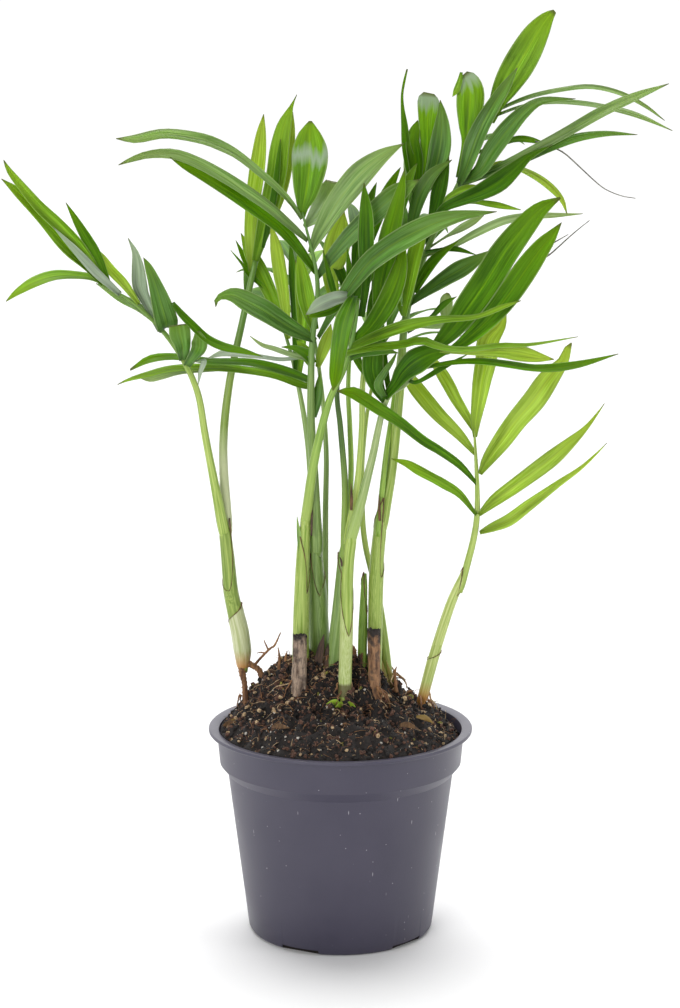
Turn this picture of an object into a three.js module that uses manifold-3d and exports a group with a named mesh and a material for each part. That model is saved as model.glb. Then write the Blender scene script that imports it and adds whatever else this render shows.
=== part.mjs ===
// A young parlour palm in a thin plastic nursery pot.
//
// Several seedlings stand in one clump. Each has a short stem of wrapped leaf sheaths, and
// petioles that leave the stem's mouth and carry pinnate fronds. Two stems are old stubs.
//
// Millimetres, +Z up. The origin is the centre of the pot's flat underside, -Y is the front
// of the plant and +X its right.

import * as THREE from "three";
import { mergeVertices } from "three/addons/utils/BufferGeometryUtils.js";
import Module from "manifold-3d";

const wasm = await Module();
wasm.setup();

// ---------------------------------------------------------------- driving dimensions

const POT_HEIGHT = 95;
const RIM_RADIUS = 60; // a 12 cm pot
const FLANGE_THICKNESS = 1.6;
const COLLAR_RADIUS = 56.5; // under the flange
const COLLAR_TAPER = 1.5;
const COLLAR_HEIGHT = 16;
const SHOULDER_RADIUS = 51.4; // where the collar steps in to the wall
const SHOULDER_HEIGHT = 4.5;
const FOOT_RADIUS = 42;
const FOOT_ROUND = 2;
const POT_WALL = 1.2;
const POT_FLOOR = 1.6;
const INNER_LIFT = 0.6; // of the inner shoulder over the outer one
const POT_SIDES = 40;
const DRAIN_NOTCHES = 5;
const DRAIN_WIDTH = 17;
const DRAIN_HEIGHT = 2.2;
const DRAIN_DEPTH = 5;

const CLEARANCE = 0.3; // between a piece and what it touches

const SOIL_EDGE = 93.5; // height of the soil at the wall
const SOIL_RISE = 12; // from the wall to the flat top of the root ball
const MOUND_RISE = 20; // of roots and crowns round the stems
const MOUND_CENTRE = [-13, 7];
const MOUND_SPREAD = [36, 22];
const SOIL_SIDES = 32;
const SOIL_RINGS = [50, 43, 35, 26, 17, 9];
const LUMP = 0.9; // height of the soil's lumps

const STEM_SIDES = 9;
const STEM_STEP = 10; // length of stem between two rings of points
const RIB_SIDES = 5;
const RIB_STEP = 14;
const RIB_TIP = 0.7; // radius at the end of a rib
const BLADE_STEPS = 4;
const BLADE_GRADING = 1.25; // draws the steps towards the root
const BLADE_FOLD = 0.22; // rise of a leaflet's edges over its midrib, to its half width
const BLADE_THICKNESS = 0.014; // of its length, through the midrib
const BLADE_LEAST = 0.9; // mm through the midrib of the shortest leaflets
const POINTED = 0.9; // power of the outline towards the tip
const BLUNT = 0.42;

const UP = new THREE.Vector3(0, 0, 1);

// ---------------------------------------------------------------- the plant

// Stems: stations of x, y, z and radius from below the soil to the mouth of the sheath.
const STEMS = [
  ["stem_left", [[-43, 9, 96, 2.2], [-45.2, 9, 112, 2.3], [-44.8, 8.5, 121, 3.6],
    [-44.7, 8, 128, 4.1], [-46, 7.5, 138, 4], [-48, 7, 147, 3.7], [-49.8, 6, 157, 3.3],
    [-51, 5, 172, 3], [-52.5, 4, 188, 2.6]]],
  ["stem_centre_left", [[-17.5, 0, 104, 3.6], [-18, -1, 126, 3.9], [-17.6, -1.6, 150, 3.6],
    [-17, -2.4, 174, 3.1], [-16.8, -3, 192, 2.5]]],
  ["stem_centre", [[-8.8, 9, 106, 4.3], [-9.6, 8, 130, 4.6], [-10.4, 6.5, 153, 4.2],
    [-11.6, 4, 172, 3.6], [-12, 3, 181, 3.3]]],
  ["stem_front", [[2, -12, 98, 3], [2, -12, 117, 3.2], [2.6, -12, 140, 3.3], [3.4, -11.6, 170, 3.1],
    [5.3, -11, 188, 2.9]]],
  ["stem_behind_front", [[-4.5, 1, 104, 3.2], [-3.2, 0.4, 124, 3.4], [-0.3, -1.2, 152, 3],
    [2, -3, 180, 2.4]]],
  ["stem_centre_right", [[15.4, 3, 102, 3], [15.7, 3, 135, 3.1], [16.3, 3, 166, 3.1],
    [18.4, 2.5, 190, 2.8]]],
  ["stem_right", [[35.3, 8, 96, 2.8], [39.6, 8, 118, 2.7], [44.8, 8, 131, 2.5], [51.4, 8, 152, 2.3],
    [57, 7.5, 165, 2]]],
  ["stem_back_right", [[23.5, 14, 96, 2.5], [20.5, 14, 126, 2.3], [18, 13.5, 146, 1.9],
    [15, 13, 162, 1.6]]],
  ["stem_back_left", [[-6.8, 18, 102, 2.2], [-7, 18, 122, 2], [-7, 17.5, 140, 1.7]]],
  ["stub_left", [[-18.8, -9.5, 100, 2.9], [-18.4, -9.5, 120, 3.1], [-18.2, -9.5, 139, 3]]],
  ["stub_right", [[15.6, -6.5, 96, 2.8], [15.3, -6.5, 120, 2.7], [15, -6.5, 141, 2.9]]],
  ["sheath_right", [[9.2, 4, 104, 2.1], [9.8, 4, 140, 1.9], [10.4, 3.6, 165, 0.8]]],
];

// Fronds: the radius at the foot of the petiole, the way that the frond's upper face looks,
// stations of x, y and z from the petiole's foot to the end of the rib, and the leaflets.
// A leaflet is its place along the rib (0 to 1), its tip from its root (x, y, z), the rise of
// its arch, its width, and the degrees that its face is turned from the frond's towards the
// sky. A last value of 1 makes its tip blunt.
const FRONDS = [
  ["frond_left_outer", 1.9, [0.2, -1, 0.4],
    [[-53.5, 3.5, 189.7], [-60, 2, 226], [-64, -1, 250], [-74, -7, 271], [-90, -13, 289],
      [-105, -18, 298]],
    [[1, -40, -14, 54, 0, 11, 50], [0.99, -42, 6, 44, -2, 10, 50], [0.95, -45, -8, -6, 7, 10, 40],
      [0.97, -18, 14, 35, 0, 9, 40], [0.86, -16, -20, 25, 0, 8, 30], [0.77, -24, -30, 16, 3, 7, 20],
      [0.76, -11, 22, 36, 2, 13, 20], [0.71, -7, -28, 34, 4, 13, 0], [0.7, 42, -14, -10, -1, 9, 55],
      [0.62, 3, -26, 16, 2, 12, 0, 1], [0.55, 3, -24, 17, 2, 12, 0, 1]]],
  ["frond_left_inner", 1.8, [0, -1, 0.2],
    [[-51, 8.6, 189.5], [-53, 11, 222], [-50, 13, 250], [-44, 16, 278], [-38, 19, 305]],
    [[1, 5, 12, 65, 1, 11, 30], [0.97, 17, -4, 68, 2, 12, 20], [0.99, 19, 10, 73, 2, 9, 40],
      [0.93, 12, 22, 60, 3, 12, 0], [0.84, 3, 44, 30, 3, 10, 20]]],
  ["frond_top_left", 2.2, [0, -1, 0.3],
    [[-11, 0.6, 182], [-11.6, -4, 208], [-13, -8, 237], [-12.5, -11, 270], [-10, -13, 298],
      [-16, -16, 325]],
    [[1, -80, -14, 35, 13.5, 13, 60], [0.91, -81, -26, 36, 18, 13, 60],
      [0.82, -61, -40, 53, 9, 12, 65], [0.99, 4, 6, 43, 2, 17, 0, 1], [0.92, 40, -10, 44, 3, 12, 15],
      [0.98, 7, 26, 16, 2, 11, 0], [0.81, 45, -24, 41, 10, 13, 15], [0.63, -42, -36, 21, 4, 14, 30],
      [0.66, -7, -22, 34, 2, 12, 0], [0.56, -28, -8, 10, -2, 9, 60], [0.54, -48, 14, 0, 3, 11, -50],
      [0.5, -87, 29, -5, 11, 12, 40], [0.49, -80, 33, 4, 6, 13, 40]]],
  ["frond_back_left", 1.6, [0, -1, 0.2],
    [[-12, 5.4, 182], [-14.5, 10, 222], [-19.5, 14, 252], [-24.5, 18, 271], [-31, 21, 290]],
    [[1, -14, 17, 31, 2, 13, 10], [0.99, -16, 6, 28, 2, 9, 30], [0.95, -18, 10, 25, 1, 6, 30],
      [0.98, 1, 20, 32, 1, 11, 10], [0.92, 9, -6, 30, 2, 9, 20], [0.85, -22, 50, 8, 10, 13, 20]]],
  ["frond_front", 1.9, [0, -1, 0.3],
    [[-16.6, -3.8, 193.6], [-11.5, -11.5, 219.5], [-5, -15, 246], [2, -19, 262], [6, -22, 278],
      [8, -24, 292]],
    [[0.8, 62, -34, 58, 20, 14, 30], [0.97, -20, -26, -6, 6, 12, 30], [1, 2, -12, 44.5, 1, 10, 30],
      [0.95, -2, -22, 18, 2, 9, 0], [0.93, -12, -16, 20, 2, 10, 20], [0.92, -6, -52, -28, 12, 14, 0],
      [0.79, 71, -36, 22, 1, 13, 60], [0.75, 95, -44, 13, -3, 11, 60]]],
  ["frond_right_front", 1.9, [0, -1, 0.3],
    [[6.2, -12.6, 189.6], [9.4, -13.5, 202], [14, -15, 221], [20, -18, 247], [29, -21, 255],
      [40, -25, 271]],
    [[1, 54, -20, 66, 4.5, 18, 0], [0.98, 53, -34, 56, -4, 18, 0], [0.92, 80, -26, 8, -6, 13, 60],
      [0.96, 51, -30, 2, 1, 12, 50], [0.8, 26, -14, 15, 1, 9, 50], [0.99, 11, 6, 22, 1, 9, 0]]],
  ["frond_centre_dark", 1.5, [0, -1, 0.3],
    [[1.6, -4.6, 181.4], [2, -5, 207], [0, -6, 233], [-1.5, -7, 250], [1, -4, 275], [6, 2, 300]],
    [[1, 10, 10, 40, 2, 12, 10], [0.9, -16, 20, 30, 4, 12, 10], [0.8, 20, -4, 34, 3, 13, 0]]],
  ["frond_centre_thin", 1.3, [0, -1, 0.3],
    [[2.6, -1, 181.4], [4.7, 1, 210], [4.2, 3, 232], [3.5, 6, 252], [6, 12, 280], [12, 20, 308]],
    [[1, 15, 8, 38, 2, 12, 10], [0.92, -6, 40, 30, 8, 13, 10], [0.84, 20, 44, 12, 10, 13, 10]]],
  ["frond_centre_right", 1.7, [0, -1, 0.3],
    [[4.2, -8.3, 189.8], [7.8, -7, 209], [9.5, -6, 232], [10, -5, 255], [14, -1, 285], [22, 3, 312]],
    [[0.7, 22, 4, 40, 3, 16, 0], [0.8, 24, -10, 34, 3, 14, 0], [1, 12, 16, 40, 3, 13, 10]]],
  ["frond_top_right", 1.8, [0, -1, 0.3],
    [[20, 3.6, 191.7], [25.2, 5, 215], [27, 7, 250], [29, 10, 280], [37, 15, 306], [51, 20, 336],
      [68, 25, 369]],
    [[1, 26, -6, 46, 1.5, 20, 0], [0.86, 22, -14, 44, 2, 11, 40], [0.88, -4, -16, 37, 1, 12, 0, 1],
      [0.87, 50, -8, 28, 12, 13, 20], [1, 78, 10, -2, 12, 9, 75], [0.97, 82, -10, -3, 8, 11, 70],
      [0.83, 88, -20, 42, -2, 11, 55], [0.82, 78, -2, 20, 4, 10, 60], [0.7, 55, -16, 37, 4, 14, 40],
      [0.86, 44, 14, -19, 11, 11, 40], [0.76, 31, 6, 1, 3, 9, 50], [0.93, 22, 26, -2, 3, 9, 50],
      [0.62, 70, 4, 20, 3, 11, 50], [0.47, 33, 0, 24, 2, 12, 20], [0.66, 18, 30, 12, 4, 12, 30]]],
  ["frond_top_back", 1.4, [0, -1, 0.3],
    [[16.9, 0.8, 191.7], [21, 4, 217], [24, 11, 238], [27, 20, 264], [31, 30, 300], [34, 38, 335]],
    [[1, -4, 8, 54, -1, 7, 20], [0.98, 0, -8, 33, 1, 12, 0], [0.99, 6, -2, 45, 1, 15, 0, 1],
      [0.97, 13, 12, 42, 2, 14, 10], [0.9, 17, -6, 30, 4, 12, 10], [0.85, -20, 60, 10, 12, 14, 10],
      [0.8, 20, 65, 6, 12, 14, 10], [0.92, 0, 60, 24, 10, 14, 0]]],
  ["frond_right", 1.7, [0, -1, 0.3],
    [[57.3, 7.5, 165.8], [60.8, 7, 180], [63, 6, 192], [63.5, 4, 206], [62, 2, 220],
      [60.5, 0, 232]],
    [[0.22, 60, -12, 44, -2, 8, 20], [0.42, 56, -8, 51, -2, 9, 10], [0.72, 42, 2, 57, -1, 11, 0],
      [0.98, 14, 10, 59, 1, 11, 0], [1, -20, 16, 28, -1, 7, 30], [0.82, -37, 22, 36.5, -2, 9, 10],
      [0.6, -64, 20, 39.5, 1, 8, 40], [0.41, -38, 10, 23, 1, 6, 30]]],
  ["frond_back_centre", 1.4, [0, 0.3, 1],
    [[14.4, 12.8, 163], [11.4, 12.6, 176], [10, 14, 190], [10, 19, 215], [14, 29, 245],
      [22, 44, 270]],
    [[1, 16, 50, 16, 8, 14, 0], [0.95, 38, 32, 10, 8, 14, 0], [0.88, -8, 54, 14, 8, 13, 10],
      [0.84, 42, 10, 12, 8, 13, 10]]],
  ["frond_back", 1.5, [0, 0.3, 1],
    [[-7, 17.3, 140.8], [-6.8, 17, 190], [-6.5, 18, 220], [-9, 25, 250], [-14, 40, 278],
      [-20, 58, 296]],
    [[1, -14, 52, 10, 6, 15, 0], [0.95, 12, 50, 12, 6, 14, 0], [0.88, -34, 36, 12, 8, 14, 10],
      [0.84, 22, 40, 8, 8, 14, 10], [0.76, -30, 20, 20, 6, 12, 10]]],
];

const COLOURS = {
  pot: 0x54525e,
  soil: 0x2b1d16,
  stem: 0x9bb15c,
  stub: 0x6f4f3c,
  frond: 0x4f7f1f,
};

// ---------------------------------------------------------------- solids

// A closed three.js geometry as a solid.
function solid(geometry) {
  geometry.deleteAttribute("normal");
  geometry.deleteAttribute("uv");
  const merged = mergeVertices(geometry, 1e-4);
  const corners = merged.index.array;
  const kept = [];
  for (let i = 0; i < corners.length; i += 3) {
    const [a, b, c] = corners.slice(i, i + 3);
    if (a !== b && b !== c && c !== a) kept.push(a, b, c);
  }
  return new wasm.Manifold(
    new wasm.Mesh({
      numProp: 3,
      vertProperties: merged.attributes.position.array,
      triVerts: new Uint32Array(kept),
    }),
  );
}

// The largest body of a fused solid. A loose scrap is dropped, and a hollow that the fusing
// sealed is filled.
function whole(body) {
  return body.decompose().reduce((most, other) => (other.volume() > most.volume() ? other : most));
}

// A solid as a named mesh with its own finish.
function piece(name, body, colour, roughness) {
  const { vertProperties, triVerts } = body.getMesh();
  const geometry = new THREE.BufferGeometry();
  geometry.setAttribute("position", new THREE.BufferAttribute(vertProperties, 3));
  geometry.setIndex(new THREE.BufferAttribute(triVerts, 1));
  geometry.computeVertexNormals();
  const material = new THREE.MeshStandardMaterial({ color: colour, roughness, metalness: 0 });
  const mesh = new THREE.Mesh(geometry, material);
  mesh.name = name;
  return mesh;
}

// A round solid turned about Z from an outline of radius and height.
function turned(outline, sides) {
  const points = outline.map(([radius, height]) => new THREE.Vector2(radius, height));
  return new THREE.LatheGeometry(points, sides).rotateX(Math.PI / 2);
}

// ---------------------------------------------------------------- pot and soil

const COLLAR_FOOT = POT_HEIGHT - COLLAR_HEIGHT;
const SHOULDER_FOOT = COLLAR_FOOT - SHOULDER_HEIGHT;

// Outer radius of the pot's wall at a height, without the flange.
function wallRadius(height) {
  const mix = THREE.MathUtils.mapLinear;
  if (height > COLLAR_FOOT) {
    return mix(height, COLLAR_FOOT, POT_HEIGHT, COLLAR_RADIUS - COLLAR_TAPER, COLLAR_RADIUS);
  }
  if (height > SHOULDER_FOOT) {
    return mix(height, SHOULDER_FOOT, COLLAR_FOOT, SHOULDER_RADIUS, COLLAR_RADIUS - COLLAR_TAPER);
  }
  return mix(height, 0, SHOULDER_FOOT, FOOT_RADIUS, SHOULDER_RADIUS);
}

function pot() {
  const flangeFoot = POT_HEIGHT - FLANGE_THICKNESS;
  const outside = [
    [0, 0],
    [FOOT_RADIUS - FOOT_ROUND, 0],
    [FOOT_RADIUS - FOOT_ROUND * 0.3, FOOT_ROUND * 0.3],
    [wallRadius(FOOT_ROUND), FOOT_ROUND],
    [SHOULDER_RADIUS, SHOULDER_FOOT],
    [wallRadius(COLLAR_FOOT), COLLAR_FOOT],
    [wallRadius(flangeFoot), flangeFoot],
    [RIM_RADIUS - 0.4, flangeFoot],
    [RIM_RADIUS, flangeFoot + 0.5],
    [RIM_RADIUS, POT_HEIGHT - 0.5],
    [RIM_RADIUS - 0.4, POT_HEIGHT],
  ];
  const inside = [
    [COLLAR_RADIUS - POT_WALL + 0.6, POT_HEIGHT],
    [COLLAR_RADIUS - POT_WALL, POT_HEIGHT - 0.6],
    [wallRadius(COLLAR_FOOT) - POT_WALL, COLLAR_FOOT + INNER_LIFT],
    [SHOULDER_RADIUS - POT_WALL, SHOULDER_FOOT + INNER_LIFT],
    [wallRadius(POT_FLOOR + 1) - POT_WALL, POT_FLOOR + 1],
    [wallRadius(POT_FLOOR) - POT_WALL - 1, POT_FLOOR],
    [0, POT_FLOOR],
  ];
  let body = solid(turned([...outside, ...inside], POT_SIDES));
  // Low notches round the foot let water out.
  for (let i = 0; i < DRAIN_NOTCHES; i += 1) {
    const notch = new THREE.BoxGeometry(DRAIN_WIDTH, DRAIN_DEPTH, 2 * DRAIN_HEIGHT);
    notch.translate(0, -FOOT_RADIUS, 0);
    notch.rotateZ(((i - 0.36) * 2 * Math.PI) / DRAIN_NOTCHES);
    body = body.subtract(solid(notch));
  }
  return body;
}

// Height of the soil: level at the wall, a low plateau, and a mound of roots round the stems.
function soilHeight(x, y) {
  const share = Math.min(1, Math.hypot(x, y) / wallRadius(SOIL_EDGE));
  const offX = (x - MOUND_CENTRE[0]) / MOUND_SPREAD[0];
  const offY = (y - MOUND_CENTRE[1]) / MOUND_SPREAD[1];
  const mound = MOUND_RISE * Math.exp(-((offX * offX + offY * offY) ** 2));
  const lumps = LUMP * Math.sin(0.36 * x + 1) * Math.sin(0.41 * y + 2);
  return SOIL_EDGE + (SOIL_RISE + lumps) * (1 - share ** 4) + mound * (1 - share ** 4);
}

function soil() {
  const gap = POT_WALL + CLEARANCE + 0.1;
  const lift = INNER_LIFT + CLEARANCE;
  const outline = [
    [0, POT_FLOOR + CLEARANCE],
    [FOOT_RADIUS - gap - 1, POT_FLOOR + CLEARANCE],
    [wallRadius(POT_FLOOR + 1.4) - gap, POT_FLOOR + 1.4],
    [SHOULDER_RADIUS - gap, SHOULDER_FOOT + lift],
    [wallRadius(COLLAR_FOOT) - gap, COLLAR_FOOT + lift],
    [wallRadius(SOIL_EDGE) - gap, SOIL_EDGE],
    ...SOIL_RINGS.map((radius) => [radius, POT_HEIGHT]),
    [0, POT_HEIGHT],
  ];
  const geometry = turned(outline, SOIL_SIDES);
  const place = geometry.attributes.position;
  for (let i = 0; i < place.count; i += 1) {
    if (place.getZ(i) > SOIL_EDGE + 1) {
      place.setZ(i, soilHeight(place.getX(i), place.getY(i)));
    }
  }
  return solid(geometry);
}

// ---------------------------------------------------------------- limbs and blades

function curveThrough(stations) {
  const points = stations.map(([x, y, z]) => new THREE.Vector3(x, y, z));
  return new THREE.CatmullRomCurve3(points, false, "catmullrom", 0.5);
}

// A closed limb along a curve: a cylinder bent to it, with its radius a function of the
// share of the curve's length.
function limb(curve, radiusAt, sides, step) {
  const steps = Math.max(3, Math.round(curve.getLength() / step));
  const frames = curve.computeFrenetFrames(steps);
  const geometry = new THREE.CylinderGeometry(1, 1, 1, sides, steps);
  const place = geometry.attributes.position;
  const point = new THREE.Vector3();
  for (let i = 0; i < place.count; i += 1) {
    const ring = Math.round((place.getY(i) + 0.5) * steps);
    const radius = radiusAt(ring / steps);
    curve.getPointAt(ring / steps, point);
    point.addScaledVector(frames.binormals[ring], place.getX(i) * radius);
    point.addScaledVector(frames.normals[ring], place.getZ(i) * radius);
    place.setXYZ(i, point.x, point.y, point.z);
  }
  return solid(geometry);
}

function stem(stations) {
  const curve = curveThrough(stations);
  const radiusAt = (share) => {
    const place = curve.getUtoTmapping(share) * (stations.length - 1);
    const below = Math.min(Math.floor(place), stations.length - 2);
    return THREE.MathUtils.lerp(stations[below][3], stations[below + 1][3], place - below);
  };
  return limb(curve, radiusAt, STEM_SIDES, STEM_STEP);
}

// Share of a leaflet's full width at a share of its length: narrow at the root, widest
// before the middle, drawn out to the tip.
function outline(share, power) {
  const widest = 0.6 / (0.6 + power);
  const full = widest ** 0.6 * (1 - widest) ** power;
  return Math.min(1, ((share + 0.02) ** 0.6 * (1 - share) ** power) / full);
}

// A leaflet: a thin diamond section, folded along its midrib, that follows an arch from its
// root on the rib to its tip.
function leaflet(root, frondFace, reach, arch, width, turn, power) {
  const way = reach.clone().normalize();
  const rise = UP.clone().projectOnPlane(way).normalize();
  const skyward = frondFace.clone().projectOnPlane(way).normalize().cross(way);
  if (skyward.z < 0) skyward.negate();
  const facing = frondFace.clone().projectOnPlane(way).normalize();
  facing.multiplyScalar(Math.cos(THREE.MathUtils.degToRad(turn)));
  facing.addScaledVector(skyward, Math.sin(THREE.MathUtils.degToRad(turn)));
  const across = way.clone().cross(facing);
  const half = Math.max(BLADE_LEAST, BLADE_THICKNESS * reach.length()) / 2;
  const geometry = new THREE.CylinderGeometry(1, 1, 1, 4, BLADE_STEPS);
  const place = geometry.attributes.position;
  for (let i = 0; i < place.count; i += 1) {
    const share = (place.getY(i) + 0.5) ** BLADE_GRADING;
    const heading = reach.clone().addScaledVector(rise, 4 * arch * (1 - 2 * share)).normalize();
    const face = across.clone().cross(heading).normalize();
    const spread = Math.max(0.3, (outline(share, power) * width) / 2);
    const off = place.getX(i);
    const point = root.clone().addScaledVector(reach, share);
    point.addScaledVector(rise, 4 * arch * share * (1 - share));
    point.addScaledVector(across, off * spread);
    point.addScaledVector(face, place.getZ(i) * half * (1 - 0.5 * share));
    point.addScaledVector(face, Math.abs(off) * spread * BLADE_FOLD);
    place.setXYZ(i, point.x, point.y, point.z);
  }
  return solid(geometry);
}

function frond(footRadius, face, stations, leaflets) {
  const curve = curveThrough(stations);
  const radiusAt = (share) => THREE.MathUtils.lerp(footRadius, RIB_TIP, share);
  let body = limb(curve, radiusAt, RIB_SIDES, RIB_STEP);
  const frondFace = new THREE.Vector3(...face);
  for (const [along, x, y, z, arch, width, turn, blunt] of leaflets) {
    const root = curve.getPointAt(along);
    const reach = new THREE.Vector3(x, y, z);
    const power = blunt ? BLUNT : POINTED;
    body = body.add(leaflet(root, frondFace, reach, arch, width, turn, power));
  }
  return whole(body);
}

// ---------------------------------------------------------------- the whole plant

const palm = new THREE.Group();
const earth = soil();
// What grows from the soil is cut clear of it.
const clearEarth = earth.translate([0, 0, CLEARANCE]);

palm.add(piece("pot", pot(), COLOURS.pot, 0.45));
palm.add(piece("soil", earth, COLOURS.soil, 0.95));
for (const [name, stations] of STEMS) {
  const colour = name.startsWith("stub") ? COLOURS.stub : COLOURS.stem;
  palm.add(piece(name, whole(stem(stations).subtract(clearEarth)), colour, 0.5));
}
for (const [name, footRadius, face, stations, leaflets] of FRONDS) {
  palm.add(piece(name, frond(footRadius, face, stations, leaflets), COLOURS.frond, 0.45));
}

export default palm;
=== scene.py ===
import math

import bpy
import numpy as np
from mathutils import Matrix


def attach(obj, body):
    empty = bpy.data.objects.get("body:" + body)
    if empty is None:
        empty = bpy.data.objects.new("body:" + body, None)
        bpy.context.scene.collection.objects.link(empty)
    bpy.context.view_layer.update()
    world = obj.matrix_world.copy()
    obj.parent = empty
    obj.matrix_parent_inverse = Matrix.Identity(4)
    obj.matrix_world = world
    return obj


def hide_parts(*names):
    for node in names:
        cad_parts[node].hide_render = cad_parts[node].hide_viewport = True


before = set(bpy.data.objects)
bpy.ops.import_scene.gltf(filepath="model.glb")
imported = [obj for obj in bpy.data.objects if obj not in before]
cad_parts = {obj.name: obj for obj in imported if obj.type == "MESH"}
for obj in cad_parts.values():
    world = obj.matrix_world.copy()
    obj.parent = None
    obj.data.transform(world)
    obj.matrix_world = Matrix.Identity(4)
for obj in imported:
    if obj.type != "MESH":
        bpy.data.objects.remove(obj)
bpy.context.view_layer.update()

# A young parlour palm in a thin plastic nursery pot, dressed over its solids.
# Plants are listed in millimetres, as they grow; everything is built in metres.

MM = 0.001
UP = np.array([0.0, 0.0, 1.0])
FRONT = np.array([0.0, -1.0, 0.0])
TO_CM = 100  # metres to centimetres, in which a surface's patterns are measured
CURVE_STEPS = 24  # points that a curve has from one station to the next
chance = np.random.default_rng(7)

# ------------------------------------------------------------------ the plant

# Stems: stations of x, y, z and radius from below the soil to the mouth of the sheath, the
# finish of the stem, and the sheaths round it. A sheath is its foot, the lowest and highest
# points of its mouth, the sides they lie on (degrees from the front towards the right), how
# sharply the mouth rises to the left and to the right of its lowest point, how far the sheath
# stands off the stem, and its finish.
STEMS = [
    ("stem_left", [[-44.2, 8.6, 117.5, 1.7], [-44.6, 8.5, 121, 2.8], [-44.7, 8, 128, 3.9],
      [-46, 7.5, 138, 3.9], [-48, 7, 147, 3.7], [-49.8, 6, 157, 3.3], [-51, 5, 172, 3],
      [-52.5, 4, 188, 2.6]], "moss",
     [(120.2, 141, 151, -88, 92, 0.9, 0.9, 0.4, "cream"),
      (150, 157, 191, -14, 82, 1.9, 1.9, 0.18, "moss")]),
    ("stem_centre_left", [[-17.5, 0, 104, 3.4], [-18, -1, 126, 3.7], [-17.6, -1.6, 150, 3.4],
      [-16.7, -2.4, 174, 2.9], [-15.4, -3, 192, 2.4]], "fresh",
     [(110, 157, 188, 38, -84, 0.36, 0.9, 0.3, "fresh")]),
    ("stem_centre", [[-8.8, 9, 106, 4.3], [-9.6, 8, 130, 4.6], [-10.4, 6.5, 153, 4.2],
      [-11.5, 3.4, 172, 3.5], [-11.5, 1.5, 181, 3.2]], "grey",
     [(112, 155, 175, 22, -34, 2.2, 0.55, 0.3, "grey")]),
    ("stem_front", [[2, -12, 98, 2.8], [2, -12, 117, 2.9], [2.6, -12, 140, 2.8], [3.3, -11.8, 170, 2.6],
      [5.3, -12.2, 188, 2.5]], "fresh",
     [(112, 140, 183, 22, -165, 1.25, 1.15, 0.22, "pale")]),
    ("stem_behind_front", [[-4.5, 1, 104, 3.2], [-3.2, 0.4, 124, 3.4], [-0.3, -1.2, 152, 3],
      [2, -3, 180, 2.4]], "grey",
     [(108, 160, 176, 60, -100, 1, 1, 0.2, "grey")]),
    ("stem_centre_right", [[15.4, 3, 102, 3], [15.7, 3, 135, 3.1], [16.3, 3, 166, 3.1],
      [18.4, 2.5, 190, 2.8]], "fresh",
     [(108, 164, 201, 44, 3, 2.7, 1.2, 0.3, "fresh")]),
    ("stem_right", [[35.5, 8, 96, 2.4], [39.8, 8, 114, 2.4], [44, 8, 130, 2.4], [50.6, 8, 151, 2.2],
      [56.2, 7.5, 164, 1.8]], "lime",
     [(104, 124, 128, -75, 110, 1, 1, 0.3, "lime"),
      (131, 154, 167, 30, -70, 0.6, 1, 0.2, "lime")]),
    ("stem_back_right", [[23.5, 14, 96, 2.5], [20.5, 14, 126, 2.3], [18, 13.5, 146, 1.9],
      [15, 13, 162, 1.6]], "fresh",
     [(100, 112, 121, 40, -120, 1, 1, 0.35, "straw")]),
    ("stem_back_left", [[-6.8, 18, 102, 2.2], [-7, 18, 122, 2], [-7, 17.5, 140, 1.7]], "fresh",
     [(104, 124, 134, 150, -30, 1, 1, 0.25, "grey")]),
    ("sheath_right", [[9.6, 4, 104, 2.1], [10.2, 4, 140, 2], [11, 3.6, 165, 1.2]], "leafy",
     [(112, 146, 166, 60, -20, 1.6, 1, 0.15, "leafy")]),
]

# Stubs of cut stems: stations of x, y, z and radius.
STUBS = [
    ("stub_left", [[-19, -9.5, 100, 3.3], [-19, -9.5, 111, 3.7], [-18.8, -9.5, 117.5, 3.8],
      [-18.5, -9.5, 124, 3.2], [-18.2, -9.5, 139, 3]]),
    ("stub_right", [[15.6, -6.5, 96, 2.8], [15.3, -6.5, 120, 2.7], [15, -6.5, 141, 2.9]]),
]

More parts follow.
